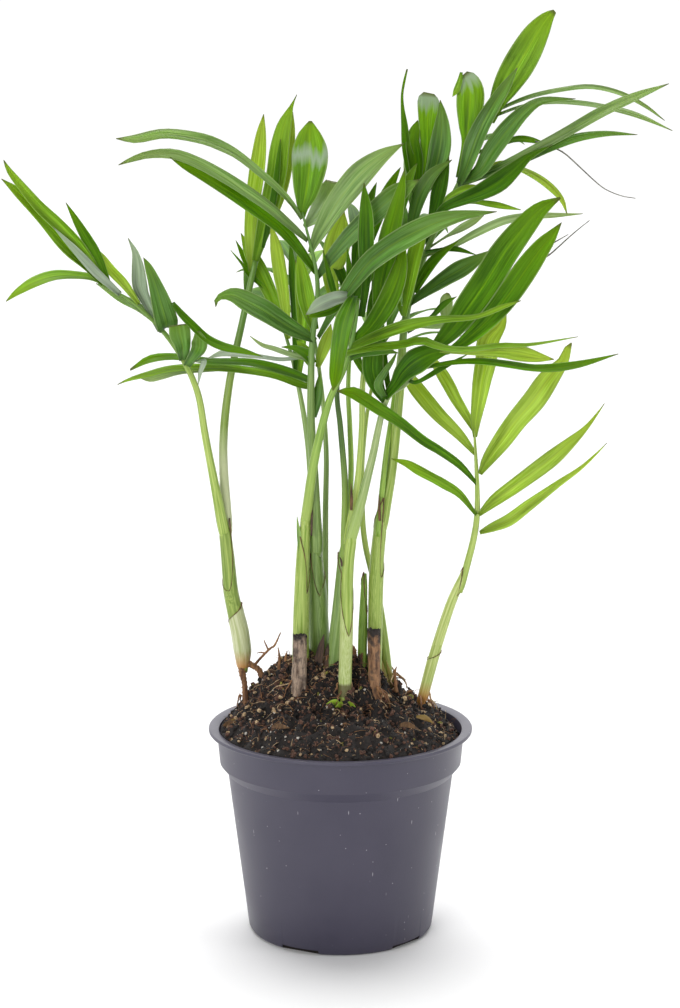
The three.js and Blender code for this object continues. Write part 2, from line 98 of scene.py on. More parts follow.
# Fronds: the petiole's foot radius and finish, the way the upper face looks, stations of x, y
# and z from foot to tip of the rib, the leaflets that show from the front and those that fill
# the crown behind. A leaflet in front is its tint, the degrees its face turns towards the sky
# and stations of x, y, z and width from its root. One behind is its place along the rib, its
# tip from its root (x, y, z), the rise of its arch, nearly twice its width, that turn and its tint.
FRONDS = [
    ("frond_left_outer", 1.9, "fresh", [0.2, -1, 0.4],
     [[-53.5, 3.5, 189.7], [-60, 2, 226], [-64, -1, 250], [-74, -7, 271], [-90, -13, 289],
      [-105, -18, 298]],
     [("fresh", 20, [[-103, -18, 299, 2], [-110.5, -20, 311, 4.8], [-120.5, -23, 323, 6.1],
        [-130.5, -25, 333, 5.2], [-140, -28, 345.5, 3], [-143, -29, 351.5, 0]]),
      ("fresh", 10, [[-103, -18, 297.5, 2], [-109.5, -20, 306, 5.5], [-117.5, -22, 314, 6.8],
        [-128, -24, 326.5, 5.5], [-137, -26, 337, 4.6], [-144.3, -28, 343.5, 0]]),
      ("silver", 10, [[-96, -16, 293, 2.4], [-106, -21, 303.5, 4], [-114.5, -24, 313.5, 3],
        [-123, -26, 323, 0]]),
      ("mid", 10, [[-100, -17, 295.5, 2], [-105, -17, 309, 4], [-109.5, -18, 317, 4.8],
        [-114, -19, 325.5, 3], [-118, -20, 333, 0]]),
      ("glow", 20, [[-88, -13, 288.5, 2], [-94.5, -14, 297.5, 4.4], [-100.5, -14, 304.5, 4.4],
        [-104, -14, 309.5, 2.8], [-107, -14, 313.5, 0]]),
      ("fresh", 30, [[-98, -16, 294.5, 2.4], [-106.5, -18, 300, 3.7], [-115, -20, 301.5, 4.8],
        [-123.5, -22, 301.5, 6.2], [-132, -24, 299, 6.4], [-139, -25, 295, 3.8], [-144, -26, 291, 0]]),
      ("silver", 10, [[-79, -9, 276.5, 3], [-85.5, -9, 290, 4.8], [-88, -9, 296.5, 7],
        [-88.5, -9, 304, 5.8], [-89.5, -9, 310.5, 3], [-92.5, -9, 317, 0]]),
      ("grey", 0, [[-76.5, -9, 278, 6], [-76.3, -12, 280.5, 10], [-78.2, -13, 288.5, 8.8],
        [-81, -14, 298.5, 5.4], [-83.5, -14, 305, 3], [-85.5, -14, 309, 0]]),
      ("mid", 30, [[-73.5, -12, 289, 2], [-69.5, -14, 284, 4], [-65.5, -15, 280, 4.4], [-59, -16, 274, 4.8],
        [-52, -16, 270.5, 4.8], [-43, -16, 268.5, 3.2], [-34, -16, 266, 0]]),
      ("sheen", 30, [[-78, -8, 277, 2], [-88, -9, 286, 5], [-95.5, -10, 290.5, 5],
        [-101.5, -11, 294.5, 3.2], [-106.5, -12, 297.5, 0]]),
      ("grey", -10, [[-69.5, -6, 263.5, 3], [-69, -14, 270.5, 6.8], [-70, -16, 276, 9.2],
        [-70.5, -16, 280, 8.6]]),
      ("grey", -10, [[-68, -5, 261, 3], [-62.5, -15, 268.5, 6], [-61.5, -16, 272.5, 6.6],
        [-62.3, -16, 277, 2]]),
      ("silver", 0, [[-64, -12, 263, 1.6], [-59.5, -20, 264.5, 2.4], [-61, -21, 259.5, 1.6],
        [-62, -21, 254, 0]])],
     []),
    ("frond_left_inner", 2.05, "two_tone", [0, -1, 0.2],
     [[-51.5, 6.6, 190], [-52.8, 10.5, 222], [-50, 13, 250], [-44, 16, 278], [-38, 19, 305]],
     [("glow", 0, [[-39.5, 19, 300, 3], [-40.5, 20, 314, 4.6], [-39.7, 24, 327, 6], [-38, 27, 340.5, 6.8],
        [-36.6, 29, 351.5, 6.2], [-35.5, 31, 361.5, 4], [-34.4, 32, 369.5, 0]]),
      ("fresh", 0, [[-38, 18, 305, 3], [-35, 17, 316.5, 5.6], [-31.5, 17, 330, 8], [-28.5, 16, 343, 8.8],
        [-27, 15, 354, 8.4], [-25, 15, 364, 6.4], [-22.8, 15, 370, 3.4], [-21.2, 15, 374, 1],
        [-19.2, 15, 378.3, 0]]),
      ("dark", 0, [[-34.5, 16, 311, 1.2], [-31.8, 15, 323, 2.6], [-29.2, 14, 336, 2.8],
        [-27.4, 13, 350, 1.8], [-26.4, 13, 359, 0]]),
      ("glow", 0, [[-34, 19, 314, 2], [-31.6, 20, 320.7, 3], [-26.1, 20, 336.2, 4.6],
        [-23.4, 20, 349.6, 4.8], [-22, 20, 361.9, 3.6], [-21.1, 20, 370.6, 0]])],
     [(0.84, 3, 44, 30, 3, 10, 20, "mid")]),
    ("frond_top_left", 2.2, "grey", [0, -1, 0.3],
     [[-11, 0.6, 182], [-11.6, -4, 208], [-13, -8, 237], [-12.5, -11, 270], [-10, -13, 298],
      [-16.4, -15.6, 328.5]],
     [("sheen", 30, [[-17, -16, 325.5, 1.6], [-21.8, -17, 332.7, 2.8], [-29.5, -18, 340.8, 3.8],
        [-43, -21, 352.5, 4.6], [-51.5, -23, 357.2, 5.6], [-60, -25, 360.2, 5.4], [-74.5, -28, 362.4, 4.6],
        [-87, -30, 360.3, 3.8], [-95, -31, 360.5, 0]]),
      ("sheen", 30, [[-14.5, -15.5, 316, 2], [-19.7, -17, 320.7, 4.2], [-29.5, -20, 329.4, 5.6],
        [-38.8, -23, 336.4, 6.2], [-49.3, -26, 343.8, 6.2], [-59.8, -29, 349.9, 5.8],
        [-70.2, -32, 353.8, 5], [-80.5, -35, 353.9, 3.4], [-88, -37, 351.9, 2], [-93.5, -38, 349.7, 0]]),
      ("mid", 20, [[-11, -13, 302, 2], [-17.5, -14, 311.4, 4.8], [-26, -18, 321.6, 6.2],
        [-36.7, -22, 330.3, 6.6], [-47.2, -26, 337.9, 6.2], [-57.6, -30, 344.4, 5.4],
        [-66, -32, 348.8, 2.8], [-72, -34, 352.8, 0]]),
      ("banded", 0, [[-16.3, -15, 326.5, 2], [-16.2, -14.5, 330.7, 5], [-15, -14, 336, 9.8],
        [-14, -14, 342.4, 13], [-13.2, -14, 350, 15.4], [-13.1, -14, 356, 14.8], [-13.1, -14, 361.5, 10.4],
        [-13, -14, 364.6, 6], [-12.9, -14, 367.5, 1]]),
      ("sheen", 0, [[-13, -14, 311, 2], [-10.8, -14, 316, 4], [-8.4, -14.5, 320.6, 6.2],
        [-2.8, -15, 330.4, 9.2], [3.2, -16, 338.7, 10.6], [9.7, -17, 346, 10.2], [18.2, -18, 352.9, 6],
        [27.2, -19, 358.1, 0]]),
      ("sheen", 0, [[-15.5, -14, 322, 2], [-11, -8, 326, 7], [-6.8, 0, 331.5, 10.4], [-4.4, 4, 337, 9.8],
        [-3.6, 6, 340.8, 5.6]]),
      ("grey", 0, [[-10, -11.5, 300, 2], [-4.5, -12.5, 308, 5], [3, -13.5, 317, 7], [8, -14, 322, 8],
        [16, -15, 329.5, 9], [25, -15, 337, 8.4], [34, -15, 342.6, 0]]),
      ("grey", 10, [[-11, -10, 272, 2.4], [-17.7, -16, 276.3, 6], [-24, -22, 280.5, 8.4],
        [-32.4, -30, 287, 9.8], [-40.7, -36, 292.4, 8.8], [-46, -40, 295.2, 6], [-50.2, -42, 295, 2.8],
        [-52.6, -43, 293.4, 2.4], [-52.8, -43, 290.4, 0]]),
      ("fresh", 0, [[-11, -10, 277, 3], [-12.9, -9, 282.2, 5.4], [-15.1, -9, 291.4, 7.4],
        [-16.8, -9, 301.8, 5.4], [-18.6, -9, 311.4, 0]]),
      ("mid", 30, [[-12.5, -9, 254, 3], [-24.7, 2, 257, 4.6], [-40.4, 6, 260.4, 4.2],
        [-58.6, 12, 260.6, 3.4], [-74.6, 16, 261.9, 3.8], [-86, 18, 260.3, 4.8], [-95, 20, 255.5, 1]]),
      ("fresh", 30, [[-12.5, -9, 251, 3], [-18, -2, 251.4, 3.6], [-31, 3, 255.5, 4], [-51, 10, 257.5, 4.2],
        [-75, 16, 256.5, 4.2], [-88, 18, 253.5, 3.6], [-96, 20, 251, 1.8], [-101, 21, 248.7, 0]]),
      ("pale", 20, [[-50, 12, 257, 2], [-70, 16, 255.6, 3], [-80, 18, 253, 3.2], [-86, 19, 251.4, 2.4],
        [-91, 20, 252, 0]]),
      ("silver", 30, [[-11.5, -10, 266, 1.6], [-24.5, -6, 263.3, 2], [-34.8, -4, 264.4, 2.2],
        [-44.6, 0, 265.2, 4], [-52.8, 4, 264.7, 4], [-59.6, 6, 262.3, 0]]),
      ("pale", 20, [[-12, -10, 263.5, 2], [-20, -8, 265.3, 2.4], [-28.9, -6, 268.1, 2.2],
        [-34.6, -5, 269.8, 1.6], [-39.9, -4, 273.6, 0]]),
      ("mid", 20, [[-12, -10.5, 262, 3], [-15, -9, 266, 5], [-20, -7, 268.5, 3], [-26, -6, 269, 0]]),
      ("glow", 0, [[-10, -6, 260, 2], [-7.6, -4, 267.5, 5], [-5.6, -3, 273, 4.8], [-4.2, -3, 279, 0]]),
      ("fresh", 0, [[-12.4, -8, 260, 2], [-14.4, -6, 265, 5.4], [-17, -5, 269, 3.6], [-19.4, -5, 272, 0]]),
      ("grey", 0, [[-11.4, -8, 238, 1.4], [-10, -7, 246, 3.8], [-9.4, -6, 252, 3.2], [-9, -6, 258, 0]])],
     []),
    ("frond_back_left", 1.6, "grey", [0, -1, 0.2],
     [[-12, 5.4, 182], [-14.5, 10, 222], [-19.5, 14, 252], [-24.5, 18, 271], [-31, 21, 290]],
     [("fresh", 10, [[-26, 19, 276, 2.4], [-30.8, 20, 288, 5.8], [-35.3, 22, 297.8, 7],
        [-40.4, 24, 307.6, 5.8], [-44.8, 26, 316.7, 0]]),
      ("mid", 20, [[-30, 22, 286, 1.6], [-37.3, 27, 295.5, 3.2], [-42.7, 27, 304.4, 3.2],
        [-47.2, 27, 313.4, 0]]),
      ("mid", 20, [[-31, 21, 290, 1.6], [-40.7, 20, 298.2, 2], [-43.9, 20, 303.1, 1.2],
        [-49.2, 20, 309.5, 0]]),
      ("glow", 0, [[-23.5, 17, 270, 2], [-25, 17, 286.2, 4.6], [-27.1, 16, 300.1, 6], [-28.8, 15, 311.4, 5],
        [-31, 14, 321.7, 0]]),
      ("dark", 0, [[-20, 14, 256, 2], [-20.3, 12, 282.8, 3.4], [-21.2, 12, 299.2, 3.8],
        [-22.5, 12, 316.5, 0]]),
      ("fresh", 0, [[-19, 13, 252, 2], [-17, 8, 268, 3], [-17.5, 7, 290, 5], [-20, 7, 306, 0]])],
     [(0.85, -22, 50, 8, 10, 13, 20, "mid")]),
    ("frond_front", 2.3, "turning", [0, -1, 0.3],
     [[-15.2, -3.6, 193.6], [-11.5, -11.5, 219.5], [-5, -15, 246], [2, -19, 262], [6, -22, 278],
      [8, -24, 292]],
     [("grey", 20, [[-9.4, -11, 273.6, 2], [-2.4, -20, 286.2, 4.4], [5, -26, 298.3, 7.8],
        [12.7, -29, 308.3, 10], [22, -32, 315.5, 10.6], [31.6, -36, 321.2, 10.6], [42, -40, 326.1, 8.2],
        [53.6, -44, 329.2, 3.8], [65.7, -46, 330.7, 0]]),
      ("silver", 0, [[3.5, -25, 294.5, 2.4], [1.9, -26, 293.1, 4.8], [-3.6, -30, 292.2, 6],
        [-9.6, -36, 290.2, 5.4], [-14.7, -40, 286.7, 0]]),
      ("mid", 0, [[1.5, -24, 290.5, 2.4], [-4, -29, 288, 4.4], [-10, -34, 286.5, 3.6],
        [-14, -38, 285.5, 0]]),
      ("dark", 0, [[9, -21, 284, 2.6], [11, -21, 297.9, 3.4], [11, -22, 307.7, 5.6], [11, -22, 318.5, 6.8],
        [11, -22, 329, 5.6], [10.5, -22, 336, 3], [10.1, -22, 341.5, 0]]),
      ("dark", 0, [[4, -20, 276, 1.6], [-1.1, -14, 288.4, 2], [-4.6, -14, 300.2, 2.6],
        [-7.6, -14, 312.3, 0]]),
      ("dark", 0, [[6, -21, 282, 1.6], [4.1, -20, 297.8, 2], [3.7, -20, 305.2, 2.4], [2.8, -20, 313.8, 0]]),
      ("grey", 20, [[4.5, -22, 265.5, 2], [10, -25, 268.5, 3.8], [17, -27, 270, 4.2], [25, -28, 269, 0]]),
      ("mid", 0, [[6, -24, 293, 2.4], [4.5, -33, 291.2, 4.8], [1.5, -46, 284.4, 7.6],
        [-0.2, -57, 277.1, 7.2], [-1.4, -66, 269.8, 6.2], [-2.3, -71.5, 263.7, 4.8], [-3.1, -75, 259, 0]]),
      ("fresh", 20, [[4, -21, 270, 3], [14.9, -28, 275.5, 5.2], [27.7, -33, 280.8, 5.8],
        [42.4, -38, 284.4, 3.6], [57, -43, 286.1, 2.2], [67.5, -46, 290.3, 2.4], [76.1, -48, 293.6, 0]]),
      ("fresh", 30, [[-2.4, -19, 266, 3], [12.7, -28, 270.8, 4.2], [25.5, -34, 273, 4.6],
        [34.8, -38, 275.4, 4.2], [43.3, -41, 272.8, 3.2], [54.2, -44, 272.3, 3], [67.5, -48, 274.5, 2.6],
        [80, -51, 275.2, 1.8], [99.6, -55, 279.1, 0]]),
      ("glow", 10, [[43, -30, 270, 1.6], [55.5, -36, 270.5, 3.2], [67.9, -42, 271.2, 5],
        [76.2, -45, 270.7, 6.6], [83.7, -47, 269.4, 4.2], [90.3, -49, 268.8, 0]])],
     []),
    ("frond_right_front", 2.1, "ashen", [0, -1, 0.3],
     [[6.2, -12.6, 189.6], [9.4, -13.5, 202], [14, -15, 221], [20, -18, 247], [29, -21, 255],
      [40, -25, 271]],
     [("mid", 0, [[39, -25, 269.2, 3], [48.1, -26, 278.8, 8.6], [55.7, -29, 289.9, 12],
        [63.1, -33, 301.4, 12.6], [69.7, -36, 312.7, 12], [77.7, -39, 323.9, 9.8], [84.5, -41, 331.5, 6.4],
        [92.3, -43, 336.3, 0.6]]),
      ("mid", 0, [[40, -25, 268, 2.4], [48.2, -27, 270.5, 3], [56.6, -31, 277.2, 6.2],
        [64.8, -36, 286.2, 8.6], [72, -40, 296.1, 10.2], [78.5, -44, 306.6, 10.2], [84.4, -48, 315.8, 7.8],
        [88.3, -50, 320.9, 4.8], [92.2, -52, 326.6, 0]]),
      ("dark", 0, [[20, -19, 249, 3], [24, -25, 255, 5], [27.4, -28, 260.6, 8.2], [32.6, -29, 265.4, 11],
        [39.4, -29, 268.9, 7.8], [48.5, -29, 270.2, 0]]),
      ("dark", 0, [[19.5, -18.5, 247, 3], [15.9, -21, 253.8, 6.2], [14.1, -22, 260.9, 9],
        [14.5, -22, 268.8, 8], [17.1, -22, 276.2, 0]]),
      ("grey", 0, [[19, -20, 249, 2.4], [16.3, -24, 254.6, 3.4], [18.9, -24, 259.8, 2.8],
        [22.4, -24, 265, 1.6], [24.5, -24, 269.1, 0]]),
      ("mid", 0, [[19, -17, 250, 2], [9, -19, 262, 3], [6.3, -20, 271.6, 4.4], [12.8, -20, 279, 6.8],
        [19.3, -20, 288.5, 8.8], [23.6, -20, 298, 8.4], [26.2, -20, 307.6, 5.4], [27.4, -20, 317, 0]]),
      ("mid", 0, [[21, -17, 252, 2], [17, -18, 280, 4], [17.1, -18, 295.3, 6.4], [19.3, -18, 307.4, 8.4],
        [21, -18, 317.7, 8.8], [23.5, -18, 328, 7.2], [26, -18, 338.3, 4], [27.7, -18, 347.7, 0]]),
      ("mid", 30, [[33, -23, 261, 1.8], [49.3, -34, 265.5, 2.6], [60.6, -38, 266.5, 3.2],
        [71.5, -42, 265.8, 3.4], [81.5, -46, 264.7, 3.4], [91.4, -49, 265.1, 4.2], [102.1, -52, 267.3, 3.2],
        [116.6, -56, 272, 0]]),
      ("dark", 10, [[30, -21.5, 256, 1.4], [33.6, -28, 256.5, 1.6], [43.9, -28, 262.4, 2.2],
        [55.1, -28, 268.6, 0]])],
     []),
    ("frond_centre_dark", 1.6, "dark", [0, -1, 0.3],
     [[1.6, -4.6, 181.4], [2, -5, 207], [0, -6, 233], [-1.5, -7, 250], [1, -4, 275], [6, 2, 300]],
     [],
     [(1, 10, 10, 40, 2, 11, 10, "dark"), (0.9, -14, 20, 26, 4, 9, 10, "dark"),
      (0.8, 18, -2, 30, 3, 10, 0, "dark")]),
    ("frond_centre_thin", 1.4, "leafy", [0, -1, 0.3],
     [[2.6, -1, 181.4], [4.7, 1, 210], [4.2, 3, 232], [3.5, 6, 252], [6, 12, 280], [12, 20, 308]],
     [("glow", 0, [[4, 9, 268, 2], [-4, 5, 295.4, 6], [-2.6, 5, 307.4, 10.6], [-0.6, 5, 317, 10.4],
        [1.6, 5, 328, 0]])],
     [(1, 15, 8, 38, 2, 11, 10, "mid"), (0.92, -6, 40, 30, 8, 12, 10, "dark"),
      (0.84, 20, 44, 12, 10, 12, 10, "mid")]),
    ("frond_centre_right", 1.7, "fresh", [0, -1, 0.3],
     [[4.2, -8.3, 189.8], [7.8, -7, 209], [9.5, -6, 232], [10, -5, 255], [14, -1, 285], [22, 3, 312]],
     [("fresh", 0, [[21, 2, 309, 2], [27, -8, 284.5, 2.4], [28.5, -14, 289, 3.4], [29.8, -16, 297.3, 6.4],
        [31.9, -16, 307.3, 7.6], [34.5, -16, 317.6, 6.6], [37.8, -16, 327.9, 0]])],
     [(0.7, 18, 4, 40, 3, 13, 0, "mid"), (0.8, 14, -6, 32, 3, 11, 0, "dark"),
      (1, 12, 16, 36, 3, 12, 10, "mid")]),
    ("frond_top_right", 2.2, "fresh", [0, -1, 0.3],
     [[19.4, 3.6, 191.7], [23.4, 5, 215], [26.8, 7, 250], [29, 10, 280], [37, 15, 306], [51, 20, 336],
      [68, 25, 369]],
     [("fresh", 0, [[67, 24.5, 366, 3], [69.7, 23, 374.5, 7], [73.6, 22, 382, 11.4],
        [78.4, 22, 390.3, 13.8], [83.2, 22, 398.5, 13.2], [87.5, 22, 405.9, 10.4], [91.4, 22, 411.6, 5.8],
        [94.5, 22, 414.4, 1.6]]),
      ("grey", 25, [[53, 16, 339, 3], [55.7, 10, 346.5, 6], [58.7, 8, 356.1, 8.8], [62.6, 8, 365.7, 8.2],
        [67.8, 8, 374.9, 7], [72.6, 8, 382.2, 5], [77.3, 8, 389.9, 0]]),
      ("topped", 0, [[52.5, 18, 342, 2.4], [55.4, 13, 356.5, 3.8], [56.3, 12, 364.3, 8.2],
        [56.9, 12, 372.6, 11.6], [57.1, 12, 379.6, 11.8], [55.7, 12, 384.7, 9], [53.9, 12, 387, 4]]),
      ("fresh", 0, [[53, 11, 388, 1], [52.3, 11, 384, 2.2], [50.8, 11, 380, 2.4], [49.2, 11, 377.4, 0]]),
      ("grey", 20, [[54.5, 17, 340, 3], [61.2, 6, 345, 6.6], [66.5, 4, 353.7, 9], [73.4, 4, 363.2, 9],
        [80.4, 4, 371.1, 6.4], [88.2, 4, 375.8, 3.4], [102.6, 4, 376.6, 0]]),
      ("sheen", 20, [[68, 24, 370, 1.4], [73.4, 24, 372.8, 1.4], [84.7, 26, 377.2, 2],
        [98.1, 28, 380.2, 2.2], [111.7, 30, 381.5, 2.5], [125.5, 32, 378.4, 2.5], [137, 33, 372.7, 2],
        [145.7, 34, 366.5, 0]]),
      ("sheen", 20, [[67, 24, 368, 1.4], [79.8, 21, 372.8, 1.4], [92.3, 20, 374.8, 2.3],
        [104.1, 18, 374.6, 2.6], [116.3, 16, 372.9, 2.6], [130.2, 14, 369.5, 2.9], [146.3, 12, 362.6, 0]]),
      ("sheen", 20, [[53, 18, 339, 2], [70.3, 8, 347, 3.2], [83.3, 6, 353.6, 4.4], [98.2, 2, 362, 5.2],
        [113, -2, 370.6, 5.6], [127.8, -5, 377.5, 4.4], [141.5, -8, 383.2, 0]]),
      ("grey", 20, [[52.5, 18, 338, 2], [70, 5, 345.6, 2.8], [82.4, 4, 351.2, 4], [92.8, 4, 356, 4.6],
        [104.2, 4, 359.9, 4], [116.8, 4, 361.6, 2.4], [129.9, 4, 361.1, 0]]),
      ("glow", 30, [[54, 19, 341, 1.4], [70.8, 16, 348.3, 2], [80.1, 16, 345.5, 3.2],
        [87.7, 16, 341.8, 4.4], [94, 16, 336.9, 4.4], [98.5, 16, 331.7, 2.6], [100.8, 16, 325.9, 0]]),
      ("dark", 10, [[41.5, 12, 322, 2.4], [45.1, 2, 329, 3.6], [53.2, 0, 333, 5.4], [62, 0, 336.5, 7.8],
        [69.8, 0, 340.8, 9.4], [76.3, 0, 346.4, 7], [82.8, 0, 352.1, 3.2], [92.4, 0, 356.9, 0]]),
      ("fresh", 10, [[46, 14, 330, 2], [47.4, 6, 333.6, 2.2], [53.5, 6, 337, 3.4], [57.9, 6, 337.9, 3],
        [62.8, 6, 338.3, 0]]),
      ("fresh", 20, [[46, 16, 328, 1.6], [56.9, 4, 331.9, 1.8], [64.9, 4, 331, 2.8], [71.1, 4, 330, 2.6],
        [79.5, 4, 328.4, 0]]),
      ("mid", 20, [[60, 22, 352, 1.6], [70.6, 14, 356.4, 1.8], [77.2, 14, 358.7, 3], [83.9, 14, 358.5, 2.8],
        [91.9, 14, 356.5, 0]]),
      ("pale", 30, [[37.5, 15, 307, 2], [49.8, 14, 311.4, 2.6], [60, 15, 317.1, 4], [71.2, 16, 322.3, 4.4],
        [82.3, 17, 324.5, 3.6], [94.4, 18, 325.1, 2.6], [108.2, 19, 325.8, 0]]),
      ("pale", 10, [[40, 16, 311, 0.8], [46.8, 10, 316.2, 1], [53.9, 10, 320.1, 3.4], [59.3, 10, 323.2, 3],
        [63.6, 10, 325.8, 0]]),
      ("grey", 20, [[31, 11, 286, 2.4], [37.6, 10, 291.3, 4.8], [46.6, 10, 297.5, 7.4],
        [55.5, 10, 302.8, 8], [67.4, 10, 310.4, 0]]),
      ("mid", 0, [[32.7, 8, 291.9, 3], [37.6, 8, 300.7, 4.6], [42.9, 8, 307.4, 4], [52.1, 8, 314.5, 0]]),
      ("dark", 10, [[38, 14, 309, 1.4], [44.3, 10, 310.4, 1.6], [50.9, 10, 310.8, 2.6],
        [60.3, 10, 308.2, 0]]),
      ("pale", 0, [[30, 9, 277, 1.6], [45.8, 10, 277.1, 3], [47, 10, 284.7, 5.6], [47.4, 10, 289.1, 5],
        [47.9, 10, 291.3, 1]]),
      ("dark", 0, [[30, 8, 274, 1.2], [39.6, 2, 280.8, 1.6], [45.7, 2, 287, 2.6], [51.4, 2, 290.5, 0]]),
      ("dark", 0, [[39, 17, 312, 2], [41.7, 18, 326.6, 4.6], [43.9, 18, 336.4, 6.6], [46.1, 18, 344.4, 4.4],
        [48.2, 18, 351, 0]]),
      ("grey", 10, [[34.5, 13, 299, 2], [31.5, 16, 315.3, 3], [32.7, 16, 325.4, 5], [35.8, 16, 335.6, 6.6],
        [41.1, 16, 343.6, 5], [49.5, 16, 349.8, 0]])],
     [(0.93, 22, 26, -2, 3, 9, 50, "mid"), (0.66, 18, 30, 12, 4, 12, 30, "mid")]),
    ("frond_top_back", 1.4, "leafy", [0, -1, 0.3],
     [[17.6, 0.6, 191.7], [20.2, 3, 217], [23.4, 10, 238], [27, 20, 264], [31, 30, 300], [34, 38, 335]],
     [("mid", 0, [[34, 37, 333, 2.4], [31.6, 34, 346.8, 5], [29.5, 32, 355.8, 3.8], [28.7, 31, 364.6, 2.8],
        [27.8, 31, 372.3, 1.4], [27.6, 31, 378.2, 0.9], [28.5, 31, 383.8, 0.9], [29.8, 31, 389.3, 0.5]]),
      ("mid", 0, [[34.5, 36, 334, 3], [33.9, 33, 347.8, 6.6], [32.5, 32, 356.8, 6.2],
        [33.4, 32, 362.4, 4.4], [34.7, 32, 366.8, 0]]),
      ("topped", 0, [[35.5, 36, 334, 2], [38, 34, 346.8, 3.8], [39, 33, 357.1, 6.2], [39, 32, 366.8, 8],
        [39.3, 32, 373, 9.6], [39.2, 32, 376.6, 8.8], [39.6, 32, 378.8, 4.6]]),
      ("grey", 0, [[37, 33, 333, 3], [42.4, 29, 345.6, 8], [44.6, 28, 355, 9.6], [45.3, 28, 363.7, 7.2],
        [45.2, 28, 370.3, 3.6], [44.5, 28, 375.8, 0]])],
     [(0.85, -20, 60, 10, 12, 14, 10, "mid"), (0.8, 20, 65, 6, 12, 14, 10, "mid"),
      (0.92, 0, 60, 24, 10, 14, 0, "mid")]),
    ("frond_right", 1.7, "fresh", [0, -1, 0.3],
     [[56.4, 7.5, 164], [60.2, 7, 180], [61.6, 5, 192], [61.4, 4, 206], [60.6, 5, 220], [59.9, 5, 231]],
     [("glow", 10, [[62.9, 4, 183.6, 1.5], [68.6, 3, 186.3, 4], [76.1, 2, 189.9, 5.4],
        [84.9, 0, 197.2, 4.8], [97, -3, 207.2, 2.9], [106.7, -4, 214.4, 1.6], [113.6, -5, 221.1, 0.7],
        [118.3, -5, 226.1, 0]]),
      ("glow", 10, [[62.4, 3, 192, 1.5], [67.2, 2, 196.9, 4.4], [71.5, 1, 200.6, 5.8],
        [80.3, -1, 207.4, 6.8], [93.4, -3, 218.1, 7.4], [101.9, -5, 226, 5], [108.4, -6, 232.5, 2.3],
        [113.6, -6, 239.2, 0.8], [116.8, -6, 244, 0]]),
      ("glow", 0, [[62.7, 4, 210.5, 1.6], [66.1, 3, 217.1, 5.4], [72.4, 2, 226.3, 8.2], [78.7, 0, 235.7, 9],
        [86.1, -1, 244.8, 10], [92, -2, 253.9, 9.2], [98.3, -3, 262, 4.8], [100.2, -3, 267.4, 3.2],
        [102, -3, 270.5, 0.4]]),
      ("glow", 0, [[60.3, 5, 227.2, 1.6], [60.6, 5, 234.9, 4.4], [61.9, 6, 243.9, 6.6],
        [63.2, 6, 252.8, 8.2], [64.9, 6, 261.7, 9.4], [66.1, 7, 270.6, 9.6], [71.5, 7, 277.3, 4.4],
        [73.2, 7, 284, 1]]),
      ("glow", 0, [[59.9, 6, 229.8, 1.6], [57.4, 7, 234.7, 3.4], [52, 9, 243.4, 4.8],
        [48.5, 11, 249.9, 5.4], [44.5, 13, 256.4, 4.8], [39.4, 15, 264.3, 0]]),
      ("glow", 0, [[60.8, 5, 219, 1.4], [53.7, 8, 227.2, 4.4], [44.8, 12, 235.5, 6.2], [37.7, 15, 243.4, 7],
        [32, 18, 250.5, 6], [27, 20, 258.5, 0]]),
      ("mid", 10, [[61.4, 4, 205.6, 1.2], [53.4, -1, 215.1, 3.2], [44.2, -6, 222.5, 3.8],
        [36, -11, 228.3, 4.2], [25.2, -18, 237.9, 4.8], [15.2, -23, 245, 5.6], [5.4, -27, 251.5, 5.2],
        [-1.6, -29, 252.5, 0]]),
      ("fresh", 10, [[61, 3, 192, 1.2], [53.7, 2, 201.3, 3.2], [46.5, 1, 206.3, 4.2], [41.4, 0, 209.4, 4],
        [34.6, -1, 213.2, 4.2], [29.3, -1, 216.2, 3], [22.6, -2, 218.5, 0]])],
     []),
    ("frond_back_centre", 1.4, "fresh", [0, 0.3, 1],
     [[14.4, 12.8, 163], [11.4, 12.6, 176], [10, 14, 190], [10, 19, 215], [14, 29, 245], [22, 44, 270]],
     [],
     [(1, 16, 50, 16, 8, 14, 0, "mid"), (0.95, 38, 32, 10, 8, 14, 0, "mid"),
      (0.88, -8, 54, 14, 8, 13, 10, "fresh"), (0.84, 42, 10, 12, 8, 13, 10, "mid")]),
    ("frond_back", 1.5, "grey", [0, 0.3, 1],
     [[-7, 17.3, 140.8], [-6.8, 17, 190], [-6.5, 18, 220], [-9, 25, 250], [-14, 40, 278], [-20, 58, 296]],
     [],
     [(1, -14, 52, 10, 6, 15, 0, "mid"), (0.95, 12, 50, 12, 6, 14, 0, "fresh"),
      (0.88, -34, 36, 12, 8, 14, 10, "mid"), (0.84, 22, 40, 8, 8, 14, 10, "mid"),
      (0.76, -30, 20, 20, 6, 12, 10, "fresh")]),
]

# Radius of a rib's tip. One frond has its leaflets at its end only, where its petiole is thick.
RIB_TIP = 0.45
THICK_TIPS = {"frond_left_inner": 1.3}

# Dry tips of leaflets drawn out to a thread: points of x, y and z.
THREADS = [
    [[86, 13, 358], [91.7, 11, 356], [98, 6, 353.2], [106, 2, 346], [112, 0, 340.5], [116.5, 0, 337.3],
     [123.2, 0, 334.7], [129.2, 0, 333.7]],
    [[86, -32, 309.5], [89.8, -31, 312], [93.1, -30, 314.8], [99.6, -30, 320.7], [106.1, -30, 326]],
    [[87, -34, 314.2], [91.1, -32, 316.8], [97, -32, 320.2]],
]

